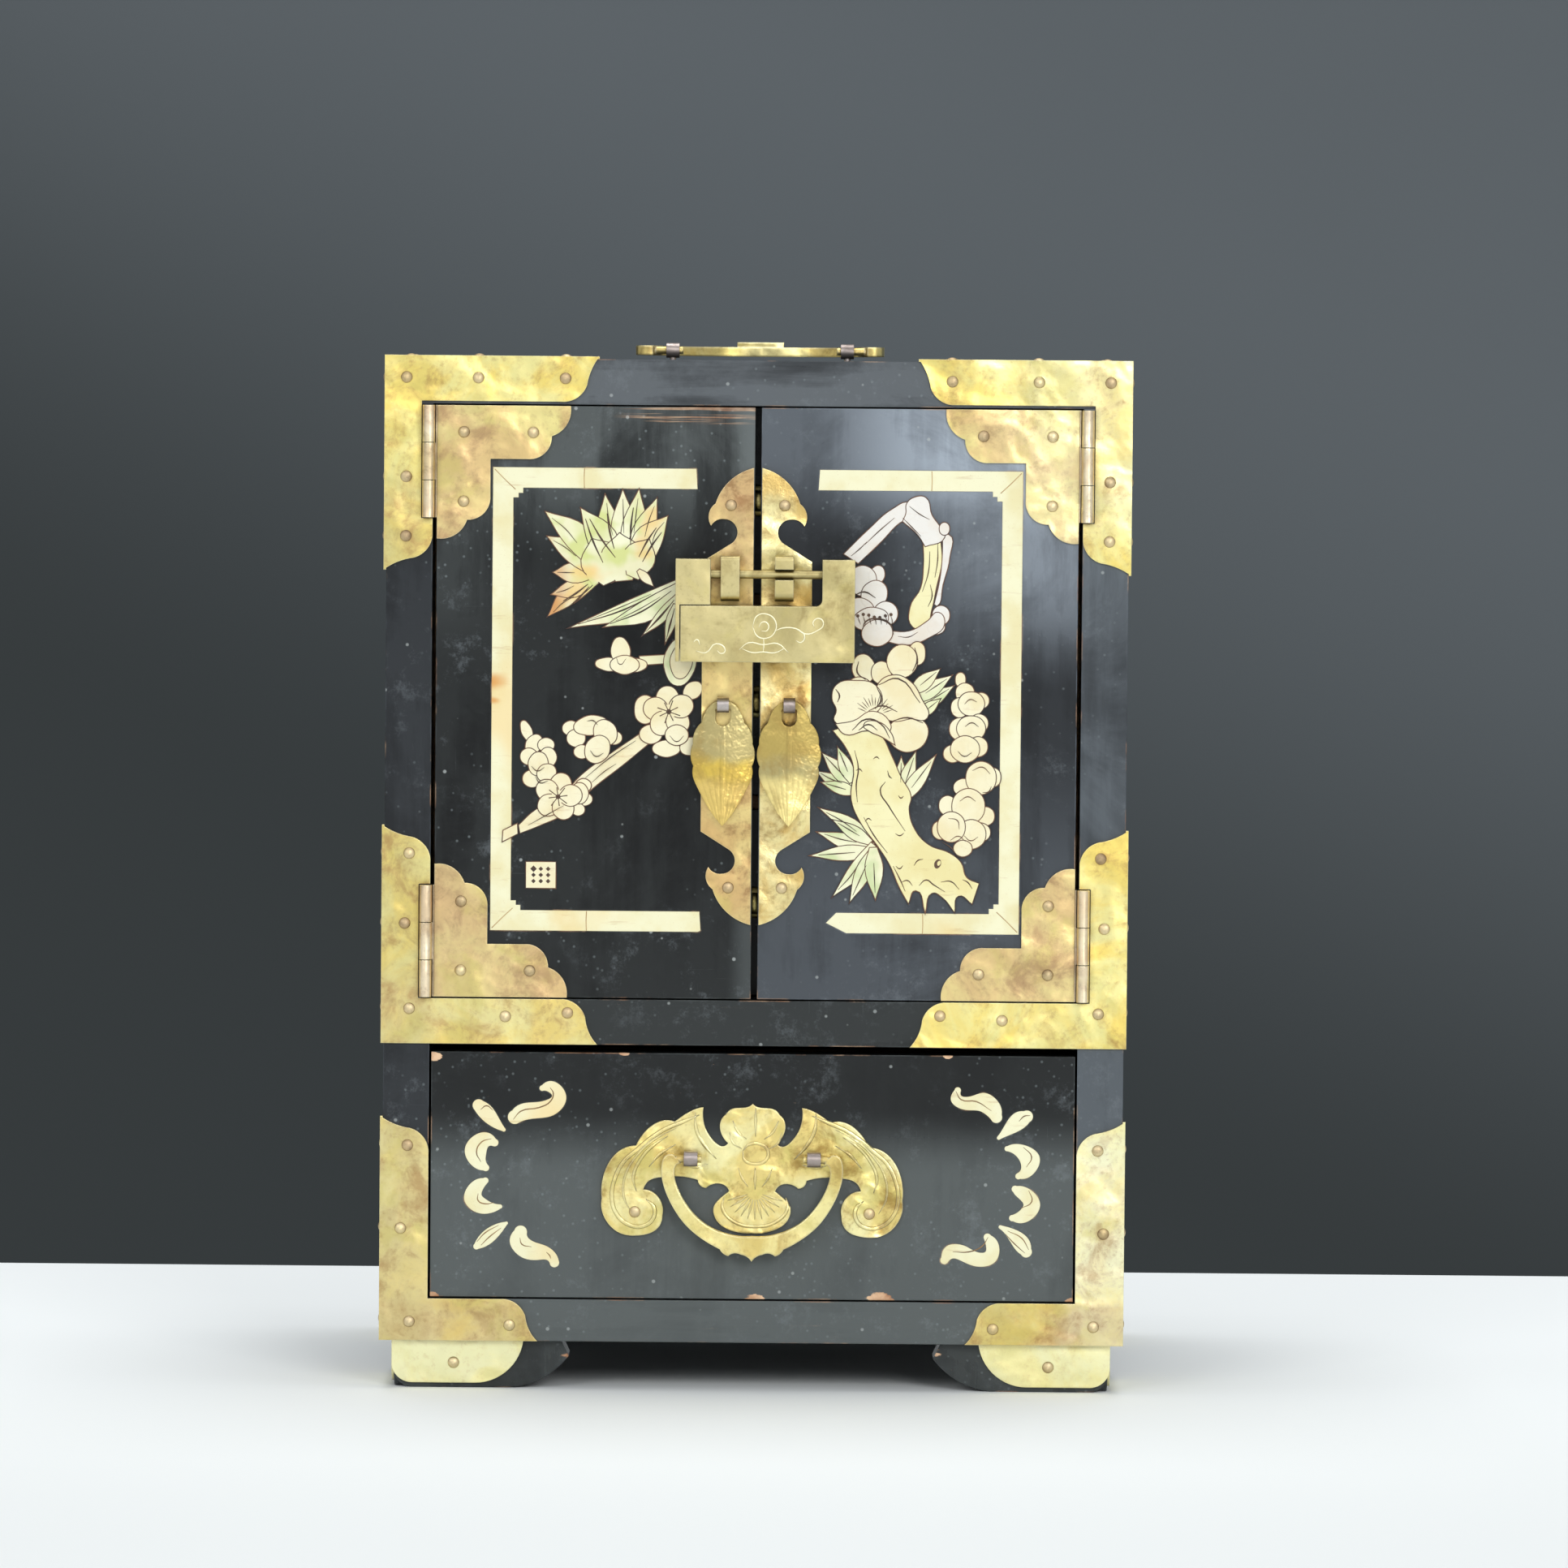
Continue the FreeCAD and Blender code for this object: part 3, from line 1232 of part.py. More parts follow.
# Checks of every object, then one file for each piece
doc.recompute()
for item in doc.Objects:
    if "Invalid" in item.State or "Error" in item.State:
        raise RuntimeError(f"{item.Label} failed: {item.State}")
labels = [piece.Label for piece in NODES]
if len(set(labels)) != len(labels):
    raise RuntimeError("two pieces share a label")
os.makedirs("parts", exist_ok=True)
for piece in NODES:
    shape = piece.Shape
    if shape.isNull() or not shape.isValid() or not shape.Solids:
        raise RuntimeError(f"{piece.Label} has no valid shape")
    shape.exportStep(f"parts/{piece.Label}.step")
    print(f"{piece.Label}: {len(shape.Solids)} solids, {shape.Volume:.1f} mm3")
print(f"{len(NODES)} pieces")
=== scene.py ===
# %% [markdown]
# # A lacquered jewelry cabinet
# The cabinet's boards, brass mounts, drawers and lock come from the CAD model as a fixed frame.
# This lesson dresses them: it gives every surface its finish, gives the embossed leaves their
# relief in the material, and models the bone pictures and the lines that a CAD file doesn't
# hold. Everything is in metres, with the front looking towards -Y.

# %% Load the frame
import math

import bpy
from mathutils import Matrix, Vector


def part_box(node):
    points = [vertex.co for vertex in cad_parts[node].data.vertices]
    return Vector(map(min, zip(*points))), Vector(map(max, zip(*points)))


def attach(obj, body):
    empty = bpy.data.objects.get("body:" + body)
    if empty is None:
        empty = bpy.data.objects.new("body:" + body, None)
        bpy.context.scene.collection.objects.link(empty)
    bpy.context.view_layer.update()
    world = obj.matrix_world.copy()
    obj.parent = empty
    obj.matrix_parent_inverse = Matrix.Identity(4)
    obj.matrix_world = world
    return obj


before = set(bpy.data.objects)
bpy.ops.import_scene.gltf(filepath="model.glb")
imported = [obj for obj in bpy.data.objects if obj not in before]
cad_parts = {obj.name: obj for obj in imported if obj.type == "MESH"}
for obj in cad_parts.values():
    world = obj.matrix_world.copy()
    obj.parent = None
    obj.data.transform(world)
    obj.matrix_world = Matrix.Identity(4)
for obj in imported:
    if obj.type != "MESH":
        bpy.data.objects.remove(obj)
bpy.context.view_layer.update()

# %% [markdown]
# ## Sizes to work with
# A cabinet maker marks a few reference planes and measures all else from them. Here they are read
# off the loaded pieces, so what is added later sits on the real surface, whatever its size. Two
# small helpers pick pieces up and fix them where they lie; later steps need them often.

# %% Reference planes
MM = 0.001


def low(node):
    """The lowest corner of a CAD piece."""
    return Vector(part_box(node)[0])


def pick(pieces):
    """Selects these pieces and no others, with the first of them active."""
    bpy.ops.object.select_all(action="DESELECT")
    for piece in pieces:
        piece.select_set(True)
    bpy.context.view_layer.objects.active = pieces[0]


def freeze():
    """Writes the place and turn of the picked piece into its own mesh."""
    bpy.ops.object.transform_apply(location=True, rotation=True, scale=True)


door_front = low("door_left_panel").y
drawer_front = low("drawer_front").y
print("door front at", round(door_front / MM, 2), "mm")

# %% [markdown]
# ## Camera
# The photograph was taken from straight in front, at about the height of the top board, with a
# long lens, so that upright lines stay nearly parallel. The whole frame is 483 mm wide at the
# cabinet's front. A camera far away with a long lens gives the same calm view, and the lens
# follows from the distance and that width, so neither has to be guessed twice.

# %% Camera
FRAME_WIDTH, DISTANCE = 0.483, 2.4
TO_THE_RIGHT, AIM_HEIGHT, EYE_HEIGHT = 8.75 * MM, 188 * MM, 300 * MM
SENSOR_MM, ROLL_DEGREES = 36, 0.5
aim = Vector((TO_THE_RIGHT, door_front, AIM_HEIGHT))
eye = Vector((TO_THE_RIGHT, door_front - DISTANCE, EYE_HEIGHT))
bpy.ops.object.camera_add(location=eye)
camera = bpy.context.object
camera.name = "camera"
camera.data.sensor_fit = "HORIZONTAL"
camera.data.sensor_width = SENSOR_MM
camera.data.lens = SENSOR_MM * (aim - eye).length / FRAME_WIDTH
look = (aim - eye).to_track_quat("-Z", "Y").to_euler()
look.rotate_axis("Z", math.radians(ROLL_DEGREES))
camera.rotation_euler = look
bpy.context.scene.camera = camera
print("lens", round(camera.data.lens), "mm")

# %% [markdown]
# ## Floor, backdrop and light
# A pale table and large soft lights show black lacquer and bright brass together: the flat
# brass faces mirror what is behind the camera, so that side of the room has to be bright. The
# stronger lamp stands to the right and, with a sheen painted into the lacquer, gives the right
# door its sheen. The table ends a little behind the cabinet, and a dark cloth hangs far behind it.

# %% Floor and backdrop
STAGE, TABLE_END, CLOTH = 8.0, 0.27, 2.6
bpy.ops.mesh.primitive_plane_add(size=STAGE, location=(0, TABLE_END - STAGE / 2, 0))
floor = bpy.context.object
floor.name = "studio_floor"
bpy.ops.mesh.primitive_plane_add(size=STAGE, location=(0, CLOTH, 2), rotation=(math.radians(90), 0, 0))
backdrop = bpy.context.object
backdrop.name = "studio_backdrop"
for piece in (floor, backdrop):
    pick([piece])
    freeze()

# %% Lights
def soft_light(name, place, target, size, watts):
    """A square area light that looks at a point."""
    bpy.ops.object.light_add(type="AREA", location=place)
    lamp = bpy.context.object
    lamp.name = name
    lamp.data.size = size
    lamp.data.energy = watts
    lamp.rotation_euler = (Vector(target) - Vector(place)).to_track_quat("-Z", "Y").to_euler()
    print(name, watts, "watts")


soft_light("light_left", (-1.2, -2.2, 1.3), (0, 0, 0.15), 1.0, 12)
soft_light("light_right", (0.85, -2.3, 1.1), (0, 0, 0.2), 0.9, 21)
soft_light("light_top", (0.0, 0.3, 2.2), (0, 0, 0), 1.2, 24)
world = bpy.data.worlds.new("room")
bpy.context.scene.world = world
world.use_nodes = True
room_light = world.node_tree.nodes["Background"].inputs
room_light["Color"].default_value = (0.95, 0.97, 1.0, 1)
room_light["Strength"].default_value = 0.59
bpy.context.scene.view_settings.view_transform = "Standard"

# %% [markdown]
# ## A short way to write materials
# A procedural material is a small recipe: patterns are made from the piece's own coordinates,
# mixed, and sent to the shader. The helper below adds one node and fills its sockets, either
# with a number or with another node's output.

# %% Recipe helper
EDGE_SAMPLES = 4


class Recipe:
    """A material under construction, with its shader and the piece's own coordinates."""

    def __init__(self, name):
        self.material = bpy.data.materials.new(name)
        self.material.use_nodes = True
        self.tree = self.material.node_tree
        self.shader = self.tree.nodes["Principled BSDF"]
        self.place = self.add("ShaderNodeTexCoord").outputs["Object"]

    def add(self, kind, sockets=None, **settings):
        """Adds a node; socket values that are outputs of other nodes are linked."""
        node = self.tree.nodes.new(kind)
        for key, value in settings.items():
            setattr(node, key, value)
        for key, value in (sockets or {}).items():
            self.fill(node.inputs[key], value)
        return node

    def fill(self, socket, value):
        """Links an output to a socket, or sets its number or colour."""
        if isinstance(value, bpy.types.NodeSocket):
            self.tree.links.new(value, socket)
        elif isinstance(value, tuple) and len(value) == 3 and socket.type == "RGBA":
            socket.default_value = (*value, 1)
        else:
            socket.default_value = value

    def math(self, operation, first, second=0.0, clamp=False):
        """One step of arithmetic."""
        node = self.add("ShaderNodeMath", {0: first, 1: second}, operation=operation)
        node.use_clamp = clamp
        return node.outputs[0]

    def noise(self, scale, detail=4.0, rough=0.55, stretch=None, warp=0.0):
        """Cloudy noise from 0 to 1; stretch gives the scale along X, Y and Z."""
        place = self.place
        if stretch:
            place = self.add("ShaderNodeMapping", {"Vector": place, "Scale": stretch}).outputs[0]
        sockets = {"Vector": place, "Scale": scale, "Detail": detail, "Roughness": rough,
                   "Distortion": warp}
        return self.add("ShaderNodeTexNoise", sockets).outputs[0]

    def cells(self, scale):
        """Distance to the nearest of many scattered points."""
        return self.add("ShaderNodeTexVoronoi", {"Vector": self.place, "Scale": scale}).outputs["Distance"]

    def axis(self, letter):
        """One of the place's own coordinates, in metres."""
        return self.add("ShaderNodeSeparateXYZ", {0: self.place}).outputs[letter]

    def zone(self, letter, start, end):
        """0 before start and 1 past end along one axis, both in millimetres."""
        return self.step(self.axis(letter), start * MM, end * MM)

    def near(self, point, radius):
        """1 at a point, given in millimetres, and 0 beyond the radius, which is half as tall."""
        squash = self.add("ShaderNodeVectorMath", {0: self.place, 1: (1, 1, 2)}, operation="MULTIPLY")
        spot = (point[0] * MM, point[1] * MM, point[2] * 2 * MM)
        node = self.add("ShaderNodeVectorMath", {0: squash.outputs[0], 1: spot}, operation="DISTANCE")
        return self.step(node.outputs["Value"], radius * MM, 0.0)

    def chain(self, operation, values):
        """One operation carried on over several values."""
        total = values[0]
        for value in values[1:]:
            total = self.math(operation, total, value)
        return total

    def plus(self, *values):
        """Several values added."""
        return self.chain("ADD", values)

    def product(self, *values):
        """Several masks multiplied."""
        return self.chain("MULTIPLY", values)

    def most(self, *values):
        """The strongest of several masks."""
        return self.chain("MAXIMUM", values)

    def occlusion_mask(self, reach):
        """Grows from 0 to 1 in corners and round raised parts, where the ambient occlusion node finds them.
        """
        node = self.add("ShaderNodeAmbientOcclusion", {"Distance": reach * MM})
        node.samples = EDGE_SAMPLES
        return self.step(node.outputs["AO"], 0.95, 0.55)

    def step(self, value, start, end):
        """0 below start, 1 above end, and smooth between; start may be the larger one."""
        sockets = {"Value": value, "From Min": start, "From Max": end}
        return self.add("ShaderNodeMapRange", sockets, interpolation_type="SMOOTHSTEP").outputs[0]

    def blend(self, amount, first, second):
        """One colour over another."""
        node = self.add("ShaderNodeMix", data_type="RGBA")
        self.fill(node.inputs["Factor"], amount)
        self.fill(node.inputs["A"], first)
        self.fill(node.inputs["B"], second)
        return node.outputs["Result"]

    def lay(self, under, tone, *masks):
        """A tone laid over a colour where all the masks allow it."""
        return self.blend(self.product(*masks), under, tone)

    def between(self, value, first, second):
        """A number that goes from first to second as value goes from 0 to 1."""
        sockets = {"Value": value, "To Min": first, "To Max": second}
        return self.add("ShaderNodeMapRange", sockets).outputs[0]

    def round_edges(self, radius):
        """The surface's normal with its sharp edges rounded off, radius in millimetres."""
        node = self.add("ShaderNodeBevel", {"Radius": radius * MM})
        node.samples = EDGE_SAMPLES
        return node.outputs[0]

    def edge_mask(self, rounded, start, end):
        """1 near the piece's edges: there the rounded normal leaves the true one."""
        true = self.add("ShaderNodeNewGeometry").outputs["True Normal"]
        dot = self.add("ShaderNodeVectorMath", {0: rounded, 1: true}, operation="DOT_PRODUCT")
        return self.step(dot.outputs["Value"], start, end)

    def bump(self, height, strength, depth, normal):
        """Turns a pattern into small hills and dents on a normal, depth in millimetres."""
        sockets = {"Height": height, "Strength": strength, "Distance": depth * MM, "Normal": normal}
        return self.add("ShaderNodeBump", sockets).outputs[0]

    def finish(self, **sockets):
        """Fills the shader's own sockets."""
        for key, value in sockets.items():
            self.fill(self.shader.inputs[key.replace("_", " ")], value)
        return self.material


def srgb(red, green, blue):
    """A colour as a screen shows it, 0 to 255, made linear."""
    linear = []
    for part in (red, green, blue):
        part = part / 255
        linear.append(part / 12.92 if part <= 0.04045 else ((part + 0.055) / 1.055) ** 2.4)
    return tuple(linear)


# %% [markdown]
# ## Black lacquer
# Old lacquer is a hard, thin, dark coat over wood. Where it was touched and wiped it has a grey
# haze, it carries fine scratches and specks of dust, and along the edges it has worn down to
# the reddish wood. In given zones of the fronts the grey is laid on more thickly, and there it is
# partly haze and partly painted sheen and painted reflection; a grey painted highlight also runs
# along the edges. One could paint this by hand, but layered noise covers every side alike. The
# wear comes from a rounded normal: where it leaves the true one, there is an edge, and noise
# breaks that line up.

# %% Lacquer
UPRIGHT, LEVEL = (6, 6, 0.7), (0.7, 6, 9)
# The grey below is the haze's colour, and also that of the painted sheen and the painted edge highlight.
JET, HAZE_AND_SHEEN = srgb(7, 7, 8), srgb(112, 119, 119)


def lacquer(name, haze, haze_and_sheen_zones=(), tone=HAZE_AND_SHEEN, wear=1, dust=1, chips=(), streaks=False,
            wipes=UPRIGHT, wiped=0.5):
    """Worn black lacquer; its zones of the front, each a strength with its zones, are partly haze and
    partly painted sheen and reflection.
    """
    mix = Recipe(name)
    cloud = mix.noise(17, 7, 0.66, warp=0.6)
    wipe = mix.noise(8, 6, 0.66, stretch=wipes)
    fine = mix.noise(130, 4)
    # Haze and painted sheen, thinned and thickened by clouds and by the strokes of wiping
    haze_and_sheen = haze
    front = mix.step(mix.axis("Y"), door_front + 4 * MM, door_front + 2.5 * MM)
    for strength, *zones in haze_and_sheen_zones:
        haze_and_sheen = mix.plus(haze_and_sheen, mix.product(front, strength, *[mix.zone(*zone) for zone in zones]))
    uneven = mix.plus(mix.step(cloud, 0.36, 0.66), mix.step(wipe, 0.38, 0.66))
    haze_and_sheen = mix.math("MULTIPLY", haze_and_sheen, mix.between(uneven, 1 - wiped, 1 + wiped / 4), clamp=True)
    colour = mix.blend(haze_and_sheen, JET, tone)
    # Smears, long scratches and specks of dust
    smear = mix.product(mix.step(mix.noise(95, 7, 0.8), 0.52, 0.68), mix.step(cloud, 0.42, 0.6))
    colour = mix.lay(colour, srgb(150, 158, 164), smear, 0.16 * dust)
    upright = mix.noise(14, 6, 0.7, stretch=(60, 60, 1.6))
    level = mix.noise(9, 5, 0.7, stretch=(1.2, 60, 70))
    scratch = mix.most(mix.step(upright, 0.64, 0.71), mix.step(level, 0.67, 0.73))
    scratch = mix.product(scratch, mix.step(cloud, 0.42, 0.62))
    colour = mix.lay(colour, srgb(128, 134, 136), scratch, 0.12)
    speck = mix.product(mix.step(mix.cells(330), 0.19, 0.06), mix.step(mix.noise(21, 3), 0.42, 0.58))
    fleck = mix.product(mix.step(mix.cells(120), 0.085, 0.045), mix.step(cloud, 0.38, 0.48))
    colour = mix.lay(colour, srgb(140, 150, 152), speck, 0.3 * dust)
    colour = mix.lay(colour, srgb(186, 192, 190), fleck, 0.42 * dust)
    # A grey painted highlight along the edges, in places worn down to the wood, and chips torn out of them
    rounded = mix.round_edges(0.7)
    edge = mix.edge_mask(rounded, 0.995, 0.9)
    torn_edge = mix.noise(70, 5)
    # Painted highlight: the edges are turned grey, where they catch the light.
    colour = mix.lay(colour, tone, edge, mix.step(torn_edge, 0.56, 0.4), 0.4)
    bare_wood_mask = mix.product(edge, mix.step(torn_edge, 0.54, 0.64), wear * 0.7)
    splinter = mix.noise(230, 4, 0.7, stretch=(0.6, 1, 1.8))
    for point, size in chips:
        torn = mix.plus(mix.near(point, size), mix.product(splinter, 1.6))
        bare_wood_mask = mix.most(bare_wood_mask, mix.step(torn, 1.16, 1.3))
    if streaks:
        run = mix.step(mix.noise(20, 4, 0.7, stretch=(0.7, 1, 28)), 0.5, 0.62)
        top_edge = mix.product(mix.zone("Z", 297.8, 299), mix.zone("X", -46, -30),
                               mix.step(mix.axis("Y"), door_front + 3 * MM, door_front + 2 * MM))
        bare_wood_mask = mix.most(bare_wood_mask, mix.product(top_edge, run, 0.6))
    bare = mix.blend(mix.step(fine, 0.3, 0.7), srgb(164, 112, 78), srgb(232, 196, 160))
    colour = mix.blend(bare_wood_mask, colour, bare)
    rough = mix.between(mix.plus(haze_and_sheen, mix.product(scratch, 0.4)), 0.2, 0.5)
    hills = mix.plus(fine, mix.product(cloud, 3))
    mix.finish(IOR=1.44, Specular_IOR_Level=0.3)
    return mix.finish(Base_Color=colour, Roughness=rough, Normal=mix.bump(hills, 0.25, 0.4, rounded))


# %% [markdown]
# ### Boards, their wear and their painted sheen
# No two boards aged alike, and no two catch the light alike. The right door carries a painted sheen
# at its top and right side, the lid and the base are hazy on their front edges, partly with painted
# sheen, the drawer grows paler towards the bottom as a painted reflection of the pale table, and the
# left door has run streaks along its top. A few chips show reddish wood. So each board has its own
# haze, zones of haze and painted sheen, and chips, given in millimetres.

# %% Lacquer of each board
# Left door: its zones at the top, at the upper left and along its right edge are partly haze and partly
# painted sheen; the one along the right edge is a painted highlight.
left_door_lacquer = lacquer("left_door_lacquer", 0.09, dust=1.3, streaks=True, wiped=0.7,
    haze_and_sheen_zones=((0.34, ("Z", 256, 288)), (0.1, ("Z", 222, 250), ("X", -70, -95)), (0.2, ("X", -9, -2))))
# Right door: the paler blue-grey tone and the zones at the top and to the right are a painted sheen of the
# right lamp; the zone towards the bottom is partly haze and partly painted sheen.
right_door_lacquer = lacquer("right_door_lacquer", 0.06, tone=srgb(160, 170, 181), dust=1, wiped=0.45,
    haze_and_sheen_zones=((0.5, ("Z", 215, 262), ("X", 30, 90)), (0.2, ("Z", 262, 292)),
    (0.4, ("Z", 262, 288), ("X", 12, 48)), (0.11, ("Z", 205, 148))))
# Drawer: the zone towards the bottom is a painted reflection of the pale table in front.
drawer_lacquer = lacquer("drawer_lacquer", 0.075, haze_and_sheen_zones=((0.46, ("Z", 88, 66)),), wear=1.2, wiped=0.25,
    chips=(((1.2, -76, 28.8), 5.5), ((40, -76, 28.8), 7), ((-98.8, -76, 29), 4.5), ((98.8, -76, 28.6), 4),
    ((-98.8, -76, 103), 4.5), ((-40, -76, 104.4), 3), ((60, -76, 104.4), 3)))
shelf_lacquer = lacquer("shelf_lacquer", 0.16, wear=1.2, wipes=LEVEL)
# Lid: the zone on its front edge is partly haze and partly painted sheen.
lid_lacquer = lacquer("lid_lacquer", 0.24, tone=srgb(110, 116, 121), wipes=LEVEL, wiped=0.6,
    haze_and_sheen_zones=((0.36, ("Y", -74, -76)),))
# Base: the zone on its front is partly haze and partly a painted reflection of the pale table.
base_lacquer = lacquer("base_lacquer", 0.24, wear=1.2, wipes=LEVEL, wiped=0.2,
    haze_and_sheen_zones=((0.34, ("Y", -72, -76)),))
left_side_lacquer = lacquer("left_side_lacquer", 0.15, tone=srgb(112, 119, 126))
# Right side: its zones on the front edge and near the top are partly haze and partly painted sheen of the
# right lamp.
right_side_lacquer = lacquer("right_side_lacquer", 0.2, tone=srgb(112, 120, 127),
    haze_and_sheen_zones=((0.3, ("Y", -74, -76)), (0.22, ("Z", 225, 262))))
foot_lacquer = lacquer("foot_lacquer", 0.24, wear=1.6, chips=(((-57.5, -76, 10.5), 7),
    ((-54.5, -74, 13), 5.5), ((56.5, -75, 12), 6.5), ((-62, -77, 4.5), 4), ((-107, -77, 1), 5),
    ((108, -77, 1), 4)))
drawer_row_lacquer = lacquer("drawer_row_lacquer", 0.24)

# %% [markdown]
# ## Sheet brass
# The corners and plates are cut from thin brass, polished once and then left to age. The sheet
# isn't quite flat, so its reflection wavers. The tarnish sits in clouds of pinkish brown and
# olive, and is cleaner in some zones. The metal is darker where ambient occlusion finds corners
# and the foot of the nails, and a pale painted highlight runs along the rims.

# %% Brass
OLIVE, PINK = srgb(214, 200, 118), srgb(216, 182, 140)
SHEET_WAVES = 62


def brass(name, pale, gold, brown, aged=0.5, olive=0.5, rough=0.28, dents=1,
          waves=SHEET_WAVES, soft=0.35, rim=0.6, tones=()):
    """Aged brass: pale and golden metal in clouds, olive and brown tarnish, a painted highlight on the
    rims.

    Tones are zones of another colour, each as strength, colour and one or two zones.
    """
    mix = Recipe(name)
    cloud = mix.noise(42, 5, 0.6, warp=0.7)
    patch = mix.noise(96, 5, 0.64, warp=0.5)
    grain = mix.noise(620, 4, 0.7)
    colour = mix.blend(mix.step(cloud, 0.38, 0.6), pale, gold)
    for strength, tone, *zones in tones:
        share = mix.between(mix.step(patch, 0.35, 0.65), strength * 0.5, strength)
        colour = mix.lay(colour, tone, share, *[mix.zone(*zone) for zone in zones])
    # Tarnish: olive clouds, brown stains and fine brown specks
    colour = mix.lay(colour, OLIVE, mix.step(mix.noise(57, 4, 0.6, warp=0.4), 0.5, 0.66), olive)
    stain = mix.product(mix.step(patch, 0.48, 0.68), mix.step(cloud, 0.34, 0.58))
    colour = mix.lay(colour, brown, stain, aged)
    speckled = mix.product(mix.step(grain, 0.48, 0.7), mix.between(mix.step(patch, 0.4, 0.6), 0.3, 1))
    colour = mix.lay(colour, brown, speckled, 0.2 + 0.25 * aged)
    # Darker where ambient occlusion finds corners; a painted highlight along the rims
    dark = tuple(part * 0.5 for part in brown)
    colour = mix.lay(colour, dark, mix.occlusion_mask(2.4), mix.between(patch, 0.5, 1.2), 0.6)
    rounded = mix.round_edges(soft)
    # Painted highlight: pale colour along the rounded rims, as strong as rim.
    colour = mix.lay(colour, srgb(255, 248, 208), mix.edge_mask(rounded, 0.995, 0.93), rim)
    # The sheet's slow waves and its grain
    hills = mix.plus(mix.noise(waves, 2, 0.4, warp=0.3), mix.product(grain, 0.02))
    hills = mix.product(hills, SHEET_WAVES / waves)
    normal = mix.bump(hills, 0.6 * dents, 4, rounded)
    finish = mix.between(mix.plus(cloud, mix.product(stain, 0.3)), rough - 0.06,
                         rough + 0.2)
    mix.finish(Metallic=1)
    return mix.finish(Base_Color=colour, Roughness=finish, Normal=normal)


# %% [markdown]
# ### Brass of each mount
# Corners, plates, nails and hinges were cut from different sheets and touched in different
# places: the lower plates are pinker and the lock duller. Each gets its own pale, golden and brown
# metal, and zones of another tone where the real piece changes colour. The near-white zones on the
# corners and on the door mounts are painted highlights, where the lamps' reflections fall.

# %% Brass of each mount
# The three near-white zones, at the lower left, the lower right and the upper right, are painted
# highlights; the other zones are tarnish and cleaner metal.
case_brass = brass("case_brass", srgb(255, 246, 172), srgb(248, 222, 124), srgb(170, 130, 84), aged=0.6,
    tones=((0.6, srgb(255, 248, 200), ("Z", 88, 76), ("X", -94, -100)),
    (0.75, srgb(255, 253, 222), ("Z", 88, 76), ("X", 92, 100)),
    (0.65, srgb(196, 160, 118), ("Z", 30, 26), ("Y", -60, -70)),
    (0.3, srgb(255, 236, 140), ("Z", 236, 264)), (0.8, srgb(206, 190, 128), ("X", -96, -106),
    ("Z", 288, 272)), (0.5, srgb(226, 204, 150), ("Z", 132, 122), ("X", -30, -60)),
    (0.5, srgb(255, 251, 214), ("Z", 255, 280), ("X", 60, 100))))
# The near-white zone at the top right is a painted highlight; the pink zones are tarnish.
door_brass = brass("door_brass", srgb(252, 236, 160), srgb(230, 200, 140), srgb(164, 130, 98), aged=0.6,
    dents=1.1, tones=((0.45, PINK, ("Z", 190, 150)), (0.4, PINK, ("X", -70, -95)),
    (0.4, srgb(255, 247, 208), ("X", 60, 90), ("Z", 240, 270))))
left_plate_brass = brass("left_plate_brass", srgb(240, 216, 146), srgb(218, 184, 124), srgb(150, 112, 76),
    aged=0.8, tones=((0.6, PINK, ("Z", 236, 262)), (0.3, PINK, ("Z", 176, 150))))
right_plate_brass = brass("right_plate_brass", srgb(252, 238, 176), srgb(222, 190, 118),
    srgb(142, 106, 58), aged=0.85, rough=0.26, dents=2, waves=40)
foot_brass = brass("foot_brass", srgb(255, 251, 200), srgb(255, 246, 180), srgb(206, 172, 110), aged=0.2,
    olive=0.2, tones=((0.5, srgb(224, 190, 112), ("Z", 15, 19)),))
cast_brass = brass("cast_brass", srgb(255, 242, 172), srgb(234, 210, 132), srgb(164, 134, 76), aged=0.6,
    rough=0.28, dents=1, soft=0.9)
bat_brass = brass("bat_brass", srgb(255, 246, 184), srgb(240, 218, 140), srgb(160, 126, 66), aged=0.8,
    olive=0.7, rough=0.28, dents=1.6, waves=90, soft=0.6)
lock_brass = brass("lock_brass", srgb(214, 200, 146), srgb(190, 176, 124), srgb(146, 126, 82), aged=0.5,
    olive=0.3, rough=0.36, dents=0.5, soft=0.6, rim=0.4)
nail_brass = brass("nail_brass", srgb(230, 212, 168), srgb(206, 182, 142), srgb(136, 112, 88), aged=0.6,
    olive=0.2, rough=0.42, rim=0)
hinge_brass = brass("hinge_brass", srgb(250, 234, 202), srgb(232, 208, 172), srgb(150, 122, 98), aged=0.6,
    olive=0.2, rough=0.34)
dull_steel = brass("dull_steel", srgb(196, 188, 184), srgb(168, 156, 150), srgb(104, 92, 86), aged=0.6,
    olive=0, rough=0.34, rim=0)

# %% [markdown]
# ## Embossed leaves
# The two pulls are leaves pressed from thin brass: a middle rib, side veins that run down to
# the edge, and a crowned surface. They are dull olive above, where the die marked them least,
# and rubbed bright at the tip. The relief is small, so bump shows it: stripes that lean away
# from the rib, over a low crown.

# %% Leaf brass
STRIPES, RAYS, FAN_POINT, CROWN = 2600, 62, 170.5, 10800


